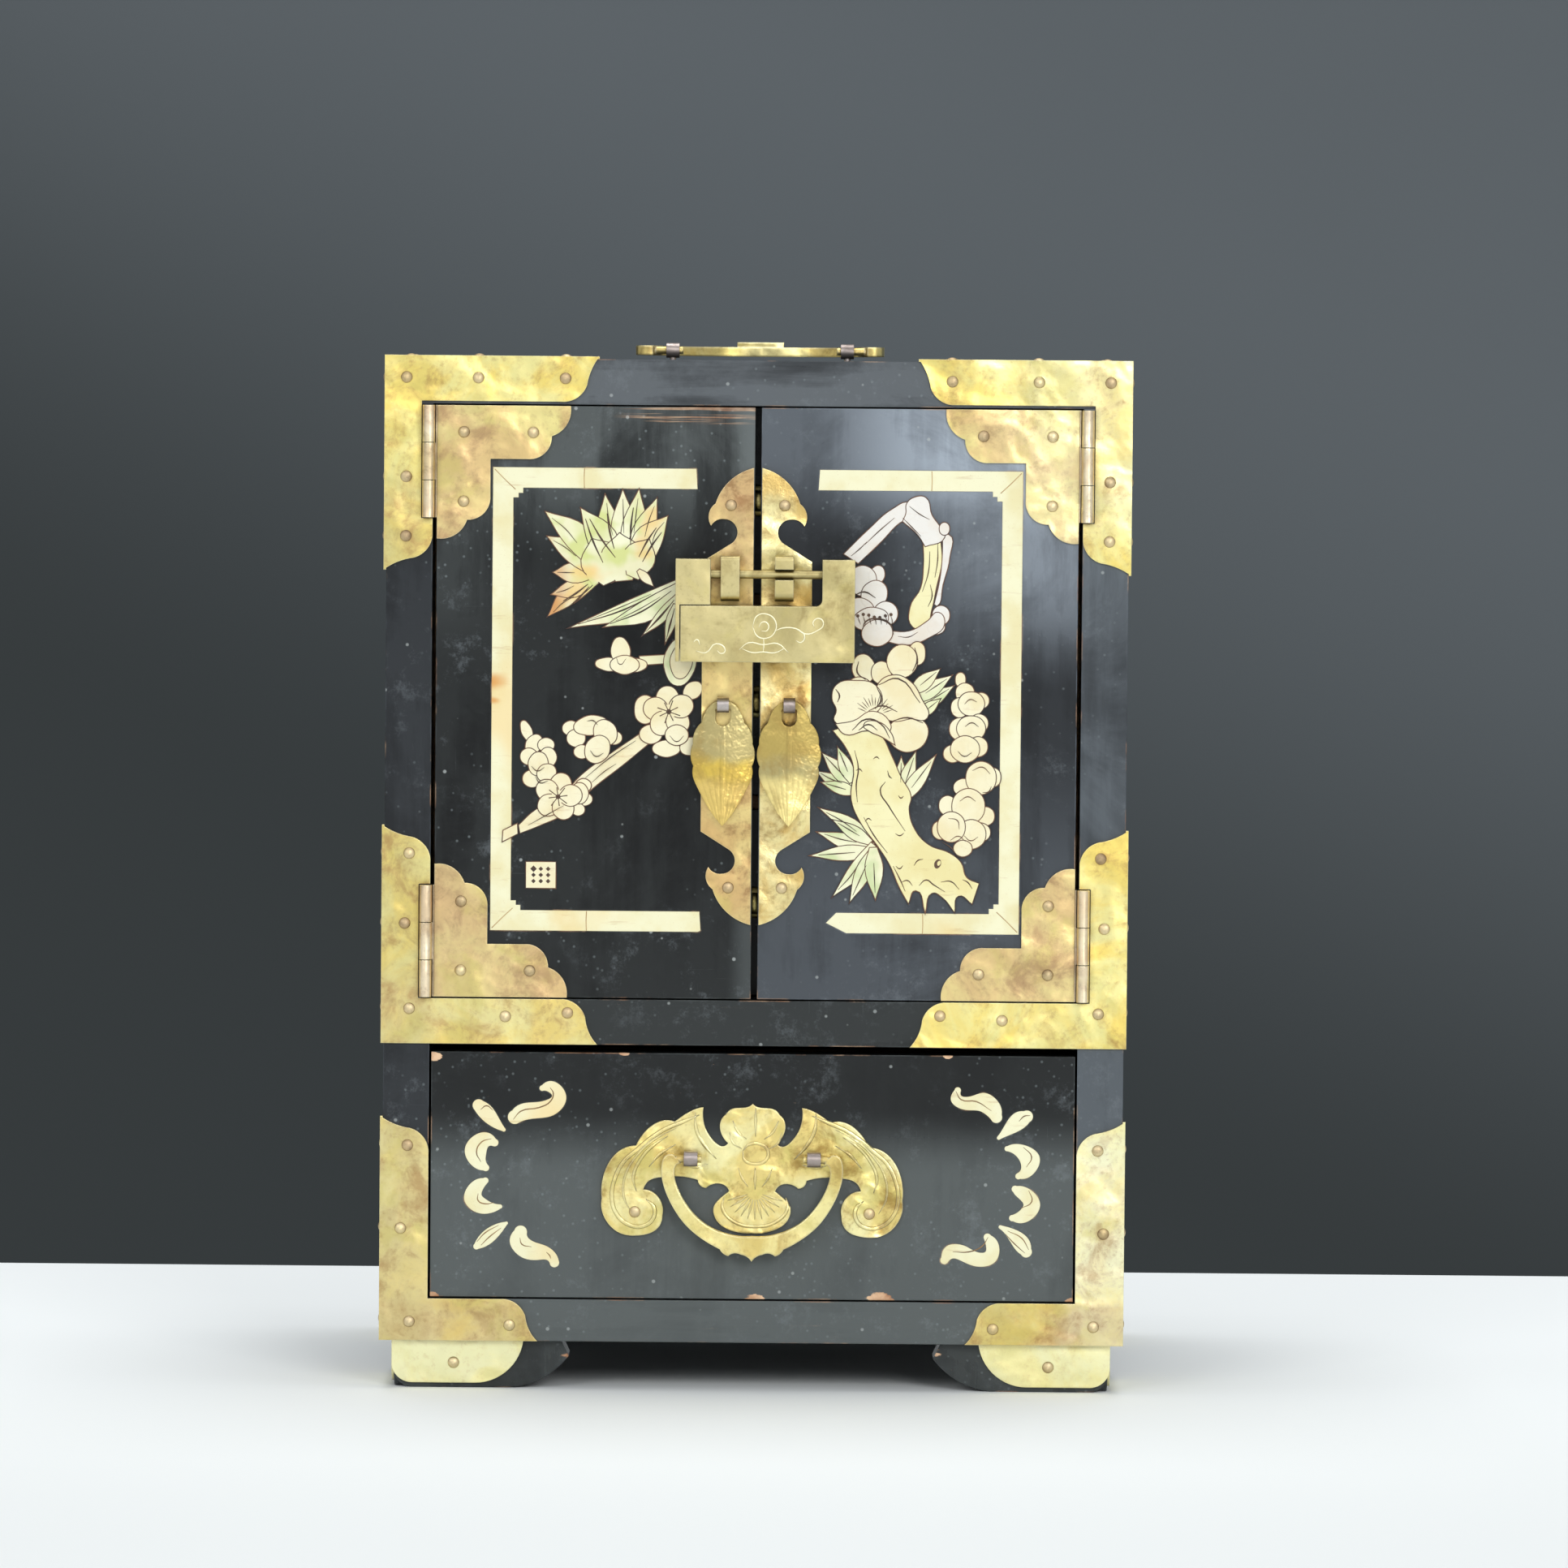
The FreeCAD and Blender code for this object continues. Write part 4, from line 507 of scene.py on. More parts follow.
def leaf_brass(name, middle, clean, mellow, dull):
    """Brass with a leaf's veins about the line x = middle, in millimetres."""
    mix = Recipe(name)
    off = mix.math("ABSOLUTE", mix.math("SUBTRACT", mix.axis("X"), middle * MM))
    height = mix.axis("Z")
    patch = mix.noise(95, 4)
    bent = mix.product(mix.noise(160, 2), 4)
    # Side veins: leaning stripes above, and rays that fan out from below the tip
    lean = mix.plus(height, mix.product(off, 1.5))
    stripe = mix.math("SINE", mix.plus(mix.product(lean, STRIPES), bent))
    spread = mix.math("DIVIDE", off, mix.math("SUBTRACT", height, FAN_POINT * MM))
    fan = mix.math("SINE", mix.plus(mix.product(spread, RAYS), bent))
    tip = mix.zone("Z", 197, 191)
    ridges = mix.product(stripe, mix.math("SUBTRACT", 1, tip), 0.2)
    ridges = mix.plus(ridges, mix.product(fan, tip, 0.65))
    # The rib, the crowned surface and a few soft dents
    relief = mix.product(mix.step(off, 1 * MM, 0.3 * MM), 0.1)
    relief = mix.plus(mix.product(ridges, 0.022), relief)
    relief = mix.plus(relief, mix.product(off, off, -CROWN))
    relief = mix.plus(relief, mix.product(patch, 0.8))
    # Dull above, clean at the tip, brown in the grooves, and darker where ambient occlusion finds corners
    uneven = mix.plus(height, mix.product(patch, 12 * MM))
    colour = mix.blend(mix.step(uneven, 204.5 * MM, 198.5 * MM), dull, mellow)
    colour = mix.blend(mix.step(uneven, 197.5 * MM, 192.5 * MM), colour, clean)
    colour = mix.lay(colour, srgb(176, 146, 84), mix.step(mix.noise(120, 4), 0.5, 0.64), 0.45)
    colour = mix.lay(colour, srgb(150, 120, 62), mix.step(ridges, 0, -0.95), mix.step(patch, 0.3, 0.6), 0.3)
    colour = mix.lay(colour, srgb(96, 74, 42), mix.occlusion_mask(2), 0.6)
    normal = mix.bump(relief, 0.9, 1.4, mix.round_edges(0.5))
    mix.finish(Metallic=1)
    return mix.finish(Base_Color=colour, Normal=normal, Roughness=mix.between(patch, 0.24, 0.44))


left_leaf_brass = leaf_brass("left_leaf_brass", -10.2, srgb(236, 206, 122), srgb(232, 200, 96),
    srgb(196, 180, 124))
right_leaf_brass = leaf_brass("right_leaf_brass", 10.2, srgb(252, 232, 156), srgb(192, 178, 124),
    srgb(198, 174, 102))

# %% [markdown]
# ## Bone
# The light inlay is bone, sawn thin and polished. It is cream rather than white, with faint
# long grain, tiny brown pores and amber stains where the glue and lacquer crept in. Grain and
# pores are noise and scattered points, and the stained rims follow the rounded edges.

# %% Bone
def bone(name, pale, warm, stain, amber=0, spots=()):
    """Polished bone with grain, pores, stained rims and amber patches, some at given spots."""
    mix = Recipe(name)
    cloud = mix.noise(70, 4)
    grain = mix.noise(60, 5, 0.65, stretch=(1, 8, 9))
    colour = mix.blend(mix.step(cloud, 0.42, 0.68), pale, warm)
    colour = mix.lay(colour, stain, mix.step(grain, 0.6, 0.7), 0.3)
    colour = mix.lay(colour, stain, mix.step(mix.cells(900), 0.14, 0.08), 0.25)
    if amber:
        glue = mix.step(mix.noise(24, 3, 0.5, stretch=(1, 1, 0.7)), 0.58, 0.72)
        colour = mix.lay(colour, srgb(240, 198, 110), glue, amber)
    for point, size in spots:
        soaked = mix.plus(mix.near(point, size), mix.product(cloud, 0.8))
        colour = mix.blend(mix.step(soaked, 0.5, 1.7), colour, srgb(220, 152, 70))
    rounded = mix.round_edges(0.3)
    colour = mix.lay(colour, stain, mix.edge_mask(rounded, 0.995, 0.88), 0.5)
    mix.finish(Roughness=0.34)
    return mix.finish(Base_Color=colour, Normal=mix.bump(grain, 0.15, 0.2, rounded))


cream_bone = bone("cream_bone", srgb(240, 237, 200), srgb(232, 223, 174), srgb(190, 150, 96), 0.45,
    (((-81.5, -77, 219), 9), ((-81, -77, 213), 4)))

# %% [markdown]
# ## Plain wood inside
# Drawer trays, guides and the back are bare brown wood, planed but never lacquered. A grain
# that is noise stretched along the board is quick and has no seams. Boards that face front or
# back run across the cabinet, so there the noise is stretched that way.

# %% Bare wood
def bare_wood(name, pale, dark, stretch, crossed):
    """Plain sawn wood; stretch sets the grain's run, and crossed that of boards facing front or back."""
    mix = Recipe(name)
    facing = mix.add("ShaderNodeSeparateXYZ", {0: mix.add("ShaderNodeNewGeometry").outputs["True Normal"]})
    facing = mix.step(mix.math("ABSOLUTE", facing.outputs["Y"]), 0.4, 0.6)
    grains = []
    for scale, warp in ((6, 0.6), (60, 0)):
        along = mix.noise(scale, 6, 0.6, stretch=stretch, warp=warp)
        across = mix.noise(scale, 6, 0.6, stretch=crossed, warp=warp)
        change = mix.product(mix.math("SUBTRACT", across, along), facing)
        grains.append(mix.plus(along, change))
    grain, pores = grains
    colour = mix.blend(mix.step(grain, 0.32, 0.68), dark, pale)
    colour = mix.lay(colour, dark, mix.step(pores, 0.55, 0.7), 0.4)
    normal = mix.bump(mix.plus(grain, pores), 0.2, 0.3, mix.round_edges(0.5))
    mix.finish(Roughness=0.62)
    return mix.finish(Base_Color=colour, Normal=normal)


tray_wood = bare_wood("tray_wood", srgb(164, 124, 84), srgb(112, 78, 48), (30, 2, 30), (2, 30, 30))
back_wood = bare_wood("back_wood", srgb(96, 70, 50), srgb(62, 44, 32), (30, 30, 2), (30, 30, 2))

# %% [markdown]
# ## Dressing the CAD pieces
# The boards, mounts and drawers have their true form already, so modelling them again would
# gain nothing. They keep their CAD mesh, and each one gets the finish of its real piece.

# %% Finishes for the CAD pieces
SIDES, ROWS = ("left", "right"), ("bottom", "middle", "top")
FINISHES = {
    lid_lacquer: ["lid"],
    base_lacquer: ["floor"],
    shelf_lacquer: ["shelf"],
    left_side_lacquer: ["side_left"],
    right_side_lacquer: ["side_right"],
    left_door_lacquer: ["door_left_panel"],
    right_door_lacquer: ["door_right_panel"],
    drawer_lacquer: ["drawer_front"],
    drawer_row_lacquer: [f"inner_drawer_{row}_front" for row in ROWS],
    foot_lacquer: [f"foot_{end}_{side}" for end in ("front", "back") for side in SIDES],
    tray_wood: ["drawer_tray", "guide_walls", "drawer_dividers",
                *[f"inner_drawer_{row}_tray" for row in ROWS]],
    back_wood: ["back_panel"],
    foot_brass: ["foot_caps"],
    case_brass: [f"bracket_{row}_{side}" for row in ("upper", "middle", "lower") for side in SIDES],
    door_brass: ["door_left_brackets", "door_right_brackets"],
    left_plate_brass: ["door_left_lock_plate"],
    right_plate_brass: ["door_right_lock_plate"],
    bat_brass: ["drawer_bat_plate"],
    cast_brass: ["drawer_bail", "top_handle", *[f"inner_drawer_{row}_knob" for row in ROWS]],
    nail_brass: ["frame_nails", "door_left_nails", "door_right_nails", "drawer_plate_nails"],
    hinge_brass: ["hinge_frame_leaves", "door_left_hinge_leaves", "door_right_hinge_leaves"],
    dull_steel: ["hinge_pins", "top_handle_posts", "drawer_handle_posts",
                 "door_left_pull_post", "door_right_pull_post"],
    lock_brass: ["lock_case", "lock_bolt", "door_left_staple", "door_right_staple"],
    cream_bone: ["door_left_inlay", "door_right_inlay", "drawer_inlay"],
    left_leaf_brass: ["leaf_pull_left"],
    right_leaf_brass: ["leaf_pull_right"],
}


def dress(piece, material):
    """Puts one finish on a whole piece."""
    if not piece.material_slots:
        piece.data.materials.append(material)
    for index in range(len(piece.material_slots)):
        piece.material_slots[index].material = material


for material, names in FINISHES.items():
    for name in names:
        dress(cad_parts[name], material)
missing = set(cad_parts) - {name for names in FINISHES.values() for name in names}
print("without a finish:", sorted(missing))

# %% [markdown]
# ## Table and cloth
# The table is matt white, the cloth behind it dark grey, lighter to the upper right. A faint
# cloud keeps both from looking like flat paint, and a slow change of colour does here what more
# lamps would do in a studio.

# %% Table and cloth
def plain_stage(name, colour, shade, climb, start, end):
    """A matt studio surface; its colour grows from shade at start to full at end, along climb."""
    mix = Recipe(name)
    place = mix.add("ShaderNodeVectorMath", {0: mix.place, 1: climb}, operation="DOT_PRODUCT")
    cloud = mix.between(mix.noise(1.5, 3), 0.9, 1.1)
    amount = mix.product(mix.step(place.outputs["Value"], start, end), cloud)
    mix.finish(Roughness=0.85)
    return mix.finish(Base_Color=mix.blend(amount, shade, colour))


dress(floor, plain_stage("pale_table", srgb(248, 252, 252), srgb(230, 234, 234), (0, 1, 0), -0.45, 0.1))
dress(backdrop, plain_stage("grey_cloth", srgb(96, 103, 107), srgb(48, 54, 55), (0.45, 0, 1), -0.1, 0.55))

# %% [markdown]
# ## Bone pictures in the doors
# The picture on each door is sawn from thin sheets of bone, one small shape for every petal and
# leaf. The shapes are laid over each other on the lacquer, and their outlines and veins are
# scratched in and rubbed with brown ink. A flat curve is the nearest thing to a fretsaw: its
# points are set like the saw's turning points, it is filled, made a mesh and stood up on the
# door. Below each shape lies a slightly larger brown one, which shows as the inked outline.

# %% Inks and tinted bone
def ink(name, dark, pale):
    """Brown ink that lies thicker in some places than in others."""
    mix = Recipe(name)
    mix.finish(Roughness=0.5)
    return mix.finish(Base_Color=mix.blend(mix.step(mix.noise(140, 3), 0.35, 0.65), dark, pale))


def tinted_bone(name, tint, glow, share, tips=None):
    """Bone with watered colour: tint in clouds, glow in a few places or towards the tips."""
    mix = Recipe(name)
    cloud = mix.noise(70, 3)
    wash = mix.noise(105, 2, 0.5, warp=0.3)
    blush = mix.noise(62, 2, 0.5, stretch=(1, 1, 1.3))
    colour = mix.blend(mix.step(cloud, 0.4, 0.7), srgb(242, 241, 206), srgb(232, 228, 186))
    colour = mix.blend(mix.step(wash, 0.62 - share, 0.86 - share), colour, tint)
    colour = mix.lay(colour, glow, mix.step(blush, 0.53, 0.66), 0.8)
    if tips:
        colour = mix.lay(colour, srgb(206, 140, 74), mix.zone("X", *tips), mix.step(blush, 0.4, 0.56), 0.9)
    mix.finish(Roughness=0.36)
    return mix.finish(Base_Color=colour, Normal=mix.round_edges(0.2))


brown_ink = ink("brown_ink", srgb(52, 36, 26), srgb(92, 66, 46))
rim_ink = ink("rim_ink", srgb(62, 40, 30), srgb(112, 76, 52))
seam_ink = ink("seam_ink", srgb(176, 142, 96), srgb(204, 176, 128))
stroke_ink = ink("stroke_ink", srgb(112, 86, 56), srgb(158, 126, 84))
leaf_bone = tinted_bone("leaf_bone", srgb(212, 218, 142), srgb(240, 204, 130), 0.2, (-56, -63))
green_bone = tinted_bone("green_bone", srgb(206, 218, 164), srgb(238, 238, 192), 0.18)
petal_bone = bone("petal_bone", srgb(242, 235, 200), srgb(236, 223, 178), srgb(196, 150, 104))
white_bone = bone("white_bone", srgb(234, 231, 224), srgb(228, 219, 204), srgb(208, 176, 148))
trunk_bone = bone("trunk_bone", srgb(241, 235, 184), srgb(233, 221, 160), srgb(190, 156, 96))

# %% Outlines
SOFT, SHARP = "AUTO", "VECTOR"


def toward(degrees):
    """A step of length 1 in a direction, counted from the horizontal."""
    return Vector((math.cos(math.radians(degrees)), math.sin(math.radians(degrees))))


def sideways(run):
    """The same step turned a quarter to the left."""
    return Vector((-run.y, run.x))


def blade(base, tip, width, bend=0, belly=0.42):
    """A pointed leaf, widest at its belly; bend pushes its middle sideways, as a share."""
    base, tip = Vector(base), Vector(tip)
    run = tip - base
    middle = base + run * belly + sideways(run) * bend
    side = sideways(run).normalized() * width / 2
    return [(base - side * 0.4, SHARP), (middle - side, SOFT), (tip, SHARP),
            (middle + side, SOFT), (base + side * 0.4, SHARP)]


def oval(centre, long, short=None, turn=0):
    """An oval petal with its long half axis turned from the horizontal, in degrees."""
    along = toward(turn)
    spots = []
    for index in range(6):
        angle = math.radians(60 * index)
        spot = along * long * math.cos(angle) + sideways(along) * (short or long) * math.sin(angle)
        spots.append((Vector(centre) + spot, SOFT))
    return spots


def shape(points, corners=()):
    """A free outline; corners lists the points that stay sharp."""
    return [(Vector(point), SHARP if index in corners else SOFT)
            for index, point in enumerate(points)]


def arc(centre, radius, start, end):
    """Three points along part of a circle."""
    return [Vector(centre) + radius * toward(start + (end - start) * share) for share in (0, 0.5, 1)]


# %% [markdown]
# ### Saw, needle and glue
# A fretsaw follows an outline, a needle scratches the lines, and the finished picture is glued
# in. The class below does the same: saw() adds a shape, line() a scratch, and set_in() joins all
# of it to one mesh and stands it on the board that carries it. Each shape is laid a hair higher
# than the last, so that no two faces lie in one plane and flicker.

# %% The saw and the needle
RIM, ROUNDING = 0.28, 0.03
RIM_BELOW, NEXT_LAYER = 0.006, 0.014


class Inlay:
    """Bone shapes and inked lines, in millimetres, that end up as one piece on a front."""

    def __init__(self, name, body="door_left", plane=door_front, slot="bone", lift=0.16):
        self.name, self.body, self.plane, self.slot, self.lift = name, body, plane, slot, lift
        self.parts = []

    def draw(self, points, closed, material, lift):
        """A curve through the given points, in millimetres, flat on the bench."""
        bpy.ops.object.select_all(action="DESELECT")
        if closed:
            bpy.ops.curve.primitive_bezier_circle_add(radius=MM, location=(0, 0, lift * MM))
        else:
            bpy.ops.curve.primitive_bezier_curve_add(radius=MM, location=(0, 0, lift * MM))
        curve = bpy.context.object
        knots = curve.data.splines[0].bezier_points
        knots.add(len(points) - len(knots))
        for knot, (spot, handle) in zip(knots, points):
            knot.co = (spot[0] * MM, spot[1] * MM, 0)
            knot.handle_left_type = knot.handle_right_type = handle
        curve.data.materials.append(material)
        self.parts.append(curve)
        return curve

    def saw(self, points, material, rim=rim_ink, thick=0.3):
        """One shape, and below it the larger one that shows as its inked outline."""
        for layer, grow in ((rim, RIM), (material, 0)):
            if layer is None:
                continue
            curve = self.draw(points, True, layer, self.lift - (RIM_BELOW if grow else 0))
            curve.data.dimensions = "2D"
            curve.data.fill_mode = "BOTH"
            curve.data.resolution_u = 5
            curve.data.extrude = (thick / 2 - ROUNDING) * MM
            curve.data.bevel_depth = ROUNDING * MM
            curve.data.bevel_resolution = 0 if grow else 1
            curve.data.offset = (grow - ROUNDING) * MM
        self.lift += NEXT_LAYER

    def line(self, points, width=0.42, material=brown_ink, rise=0.13, flat=0.35, taper=0.35):
        """One scratched or raised line, thinner at its ends."""
        knots = [(Vector(point), SOFT) for point in points]
        curve = self.draw(knots, False, material, self.lift + rise)
        curve.data.dimensions = "3D"
        curve.data.resolution_u = 4
        curve.data.bevel_depth = width / 2 * MM
        curve.data.bevel_resolution = 1
        curve.data.use_fill_caps = True
        curve.data.splines[0].bezier_points[0].radius = taper
        curve.data.splines[0].bezier_points[-1].radius = taper
        curve.scale.z = flat

    def vein(self, base, tip, start=0.2, end=0.8, bend=0, width=0.3):
        """The middle line of a leaf."""
        base, run = Vector(base), Vector(tip) - Vector(base)
        middle = base + run * (start + end) / 2 + sideways(run) * bend
        self.line([base + run * start, middle, base + run * end], width)

    def set_in(self):
        """Makes all a mesh, joins it, stands it up on the front and names it."""
        pick(self.parts)
        bpy.ops.object.convert(target="MESH")
        bpy.ops.object.join()
        piece = bpy.context.object
        freeze()
        bpy.ops.object.mode_set(mode="EDIT")
        bpy.ops.mesh.select_all(action="SELECT")
        bpy.ops.mesh.remove_doubles(threshold=0.000001)
        bpy.ops.mesh.normals_make_consistent(inside=False)
        bpy.ops.object.mode_set(mode="OBJECT")
        piece.rotation_euler = (math.radians(90), 0, 0)
        piece.location = (0, self.plane, 0)
        freeze()
        piece.name = piece.data.name = self.name
        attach(piece, self.body)
        print(self.name, len(self.parts), "parts,", len(piece.data.polygons), "faces")


# %% [markdown]
# ### Left door: a spray of bamboo leaves
# A fan of pointed leaves, tinted green and orange, stands above a bunch of long narrow ones.
# The back leaves are laid first and the front ones over them, as the maker glues them down.

# %% Leaf fan
fan = Inlay("door_left_leaf_fan")
FAN = [
    ((-48.3, 251.4), (-64.3, 239.1), 4.6, -0.06), ((-49.6, 251.2), (-63.2, 245.8), 4.4, 0.05),
    ((-49.6, 252.4), (-62.8, 252.6), 5, 0), ((-47.1, 251.6), (-64.6, 263.6), 5.8, -0.04),
    ((-45.8, 252.2), (-65.3, 271.2), 6.8, -0.05), ((-42.1, 251.6), (-47, 276.5), 6.4, 0.03),
    ((-40.8, 251.7), (-41.6, 278), 6.4, 0), ((-39.6, 251.7), (-36.6, 278.2), 6.4, 0),
    ((-38.3, 252), (-31.1, 275.6), 5.8, 0.03), ((-37.5, 252.1), (-27.8, 270.1), 7.2, 0.09),
    ((-43.3, 250.4), (-54.4, 272.3), 7.4, -0.07), ((-45, 249.8), (-51, 263), 10.5, 0),
    ((-41, 250.3), (-42.5, 264.8), 10.5, 0), ((-38.4, 251.4), (-33.4, 263), 8, 0.04),
]
for base, tip, width, bend in FAN:
    fan.saw(blade(base, tip, width * 1.2, bend, 0.55), leaf_bone)
fan.saw(shape([(-50.4, 248.4), (-52.6, 252.6), (-49.6, 257.6), (-43, 260), (-37, 258), (-34, 254.6),
    (-37.4, 252), (-40.6, 253.4), (-44, 250.4), (-47.6, 250.8)], (0, 5, 7, 9)), leaf_bone, rim=None)
fan.saw(blade((-36.6, 253.4), (-32, 248.6), 2.6), petal_bone)
for base, tip, width, bend in FAN[:10]:
    fan.vein(base, tip, 0.5, 0.9, bend * 0.4)
for base, tip in (((-46, 252), (-53.6, 270.6)), ((-41.5, 254), (-52.6, 270.4)),
        ((-38, 255), (-30.6, 267.6)), ((-37, 253.5), (-28.9, 266.2)), ((-43.5, 257), (-46.6, 272)),
        ((-39.3, 258), (-38.2, 274)), ((-50, 250.5), (-60.5, 243.2)), ((-50, 250), (-58.5, 241.4))):
    fan.vein(base, tip, 0.2, 0.92, 0.02, 0.6)
fan.set_in()

# %% [markdown]
# ### Left door: long leaves
# Below the fan four narrow leaves hang to the left, one thin sheet each. They bend a little, so
# the outline's middle is pushed sideways; two scratched lines make the rib and a fold.

# %% Long leaves
LONG = [
    ((-24.5, 249.6), (-57.3, 235.7), 5.2, 0.05), ((-24.2, 248.4), (-46.8, 236), 6.4, 0.07),
    ((-24.5, 245.6), (-34.9, 233.7), 3.4, 0.03), ((-25.1, 243), (-28.1, 231.3), 3, 0),
]
spray = Inlay("door_left_long_leaves")
for base, tip, width, bend in LONG:
    spray.saw(blade(base, tip, width, bend), green_bone)
for base, tip, width, bend in LONG:
    spray.vein(base, tip, 0.1, 0.93, bend * 0.7, 0.5)
    spray.vein(base, tip, 0.25, 0.85, bend * 0.7 - width * 0.006, 0.3)
spray.set_in()

# %% [markdown]
# ### Left door: a plum branch
# A twig of plum runs up to the right. Each blossom is five round petals about a dark star of
# stamens; one helper lays it, turned a little each time, as a maker uses one template. Buds and
# small clusters are overlapping ovals.

# %% Blossom helper
def blossom(inlay, centre, radius, turn):
    """Five petals, a star of stamens and their dots."""
    centre = Vector(centre)
    for index in range(5):
        angle = turn + 72 * index
        inlay.saw(oval(centre + toward(angle) * radius * 0.56, radius * 0.5, radius * 0.46, angle),
                  petal_bone)
    inlay.saw(oval(centre, radius * 0.3), petal_bone, rim=None)
    for index in range(8):
        out = toward(turn + 20 + 45 * index) * radius * (0.42 + 0.08 * (index % 2))
        inlay.line([centre, centre + out * 0.5, centre + out], 0.3, taper=1)
    inlay.saw(oval(centre, radius * 0.11), brown_ink, rim=None)


def cluster(inlay, ovals, material=petal_bone):
    """Overlapping oval buds, each as x, z, long and short half axis and turn."""
    for x, z, long, short, turn in ovals:
        inlay.saw(oval((x, z), long, short, turn), material)


# %% Branch and blossoms
plum = Inlay("door_left_plum")
plum.saw(shape([(-77.8, 169.6), (-77.6, 172.9), (-73.4, 175), (-73.2, 172)], (0, 1, 2, 3)), petal_bone)
plum.saw(shape([(-72.4, 172.2), (-72.8, 174.6), (-67.6, 179.4), (-60.6, 182.8), (-53.6, 190.2),
    (-44.2, 197.2), (-34.6, 203.8), (-31.6, 201.4), (-40.6, 193.8), (-50, 186.4), (-58, 178.8),
    (-66, 174.8)], (0, 1, 6, 7)), petal_bone)
cluster(plum, [(-70.6, 203.6, 3.4, 1.5, 112), (-68.4, 199.6, 3.2, 2.3, 60), (-64.6, 199.4, 2.5, 2.1, 0),
    (-69.9, 195.8, 2.6, 2.5, 0), (-64, 195.6, 3, 2.6, 90), (-68.8, 189, 2.9, 2.6, 0),
    (-67, 193.6, 3.6, 2.9, 80), (-64.4, 190.8, 3, 2.6, 30)])
cluster(plum, [(-57, 204.6, 2.6, 2.2, 0), (-43.6, 201.8, 2.3, 2, 0), (-55.4, 201.6, 2.8, 2.6, 0),
    (-53.6, 197.4, 2.4, 2, 0), (-50.9, 205.6, 5.2, 2.8, 10), (-46.4, 203.4, 4, 3.4, 300),
    (-48.8, 198.2, 4.4, 3.6, 60)])
cluster(plum, [(-53, 187, 2.3, 2, 0), (-52.6, 182.8, 2.3, 1.9, 0), (-54.6, 179.6, 2, 1.8, 0),
    (-54.2, 184.6, 3.2, 2.6, 90)])
blossom(plum, (-60.8, 183.5), 6.9, 78)
cluster(plum, [(-19.6, 216.6, 3.2, 2.4, 40), (-34.2, 210.6, 3.2, 4.4, 0), (-32.4, 203, 3.4, 2.8, 0),
    (-27.6, 198.6, 4.2, 2.4, 0), (-20, 199.4, 3.4, 2.6, 20)])
blossom(plum, (-26.9, 210), 7.4, 96)
cluster(plum, [(-24.4, 202.8, 3.5, 3, 0)])
for centre, sweep in (((-67, 193.6), (200, 330)), ((-48.8, 198.2), (190, 330)),
        ((-24.4, 203), (190, 350)), ((-50.9, 205), (20, 120)), ((-65.6, 189.8), (180, 320))):
    plum.line(arc(centre, 2.2, *sweep), 0.34)
plum.line([(-70, 174.6), (-64, 178), (-59, 180.8)], 0.3)
plum.line([(-52.4, 189.4), (-45, 195.6), (-37, 201)], 0.34)
plum.line([(-50.4, 188), (-46.6, 191.4), (-43, 193.8)], 0.3)
plum.set_in()

# %% [markdown]
# ### Left door: a bud and a tile
# The open bud is a green cup with a pale one in it. The small square at the lower left is a
# plain tile. A maker would pierce its nine little diamonds with the saw and fill them with
# brown ink; laid on as thin brown shapes they look the same.

# %% Bud and tile
bud = Inlay("door_left_bud")
bud.saw(shape([(-36, 226.9), (-27, 227.5), (-27, 225), (-36, 224.3)], (0, 1, 2, 3)), green_bone)
bud.saw(oval((-23.6, 225.4), 7.4, 4.7, 84), green_bone)
bud.saw(oval((-23.2, 225.6), 5.4, 3.2, 84), petal_bone)
cluster(bud, [(-37.2, 224.2, 3.4, 1.9, 4), (-45.4, 224.4, 4.2, 1.9, 176), (-41.9, 228.4, 4.4, 2.8, 96),
    (-40.6, 224.3, 4.4, 2.7, 0)])
bud.line([(-43.2, 226.6), (-42, 224.4), (-40.2, 226.2)], 0.32)
bud.set_in()
tile = Inlay("door_left_tile")
tile.saw(shape([(-70.5, 155.3), (-70.5, 163.3), (-61.4, 163.3), (-61.4, 155.3)], (0, 1, 2, 3)),
    petal_bone)
for x in (-68.2, -65.95, -63.7):
    for z in (157.4, 159.3, 161.2):
        wide = 1 if (x + z) % 2 < 1 else 0.7
        tile.saw(shape([(x - wide, z), (x, z + wide), (x + wide, z), (x, z - wide)], (0, 1, 2, 3)),
            brown_ink, rim=None)
tile.set_in()

# %% [markdown]
# ### Right door: an old trunk
# The trunk is one large sawn shape with forked roots. Tufts of leaves grow from it, and above it
# hang the big blossom and a bent bough. The leaves come first, because the trunk covers their
# stems; a whole tuft is cut leaf by leaf, as each one leans its own way.

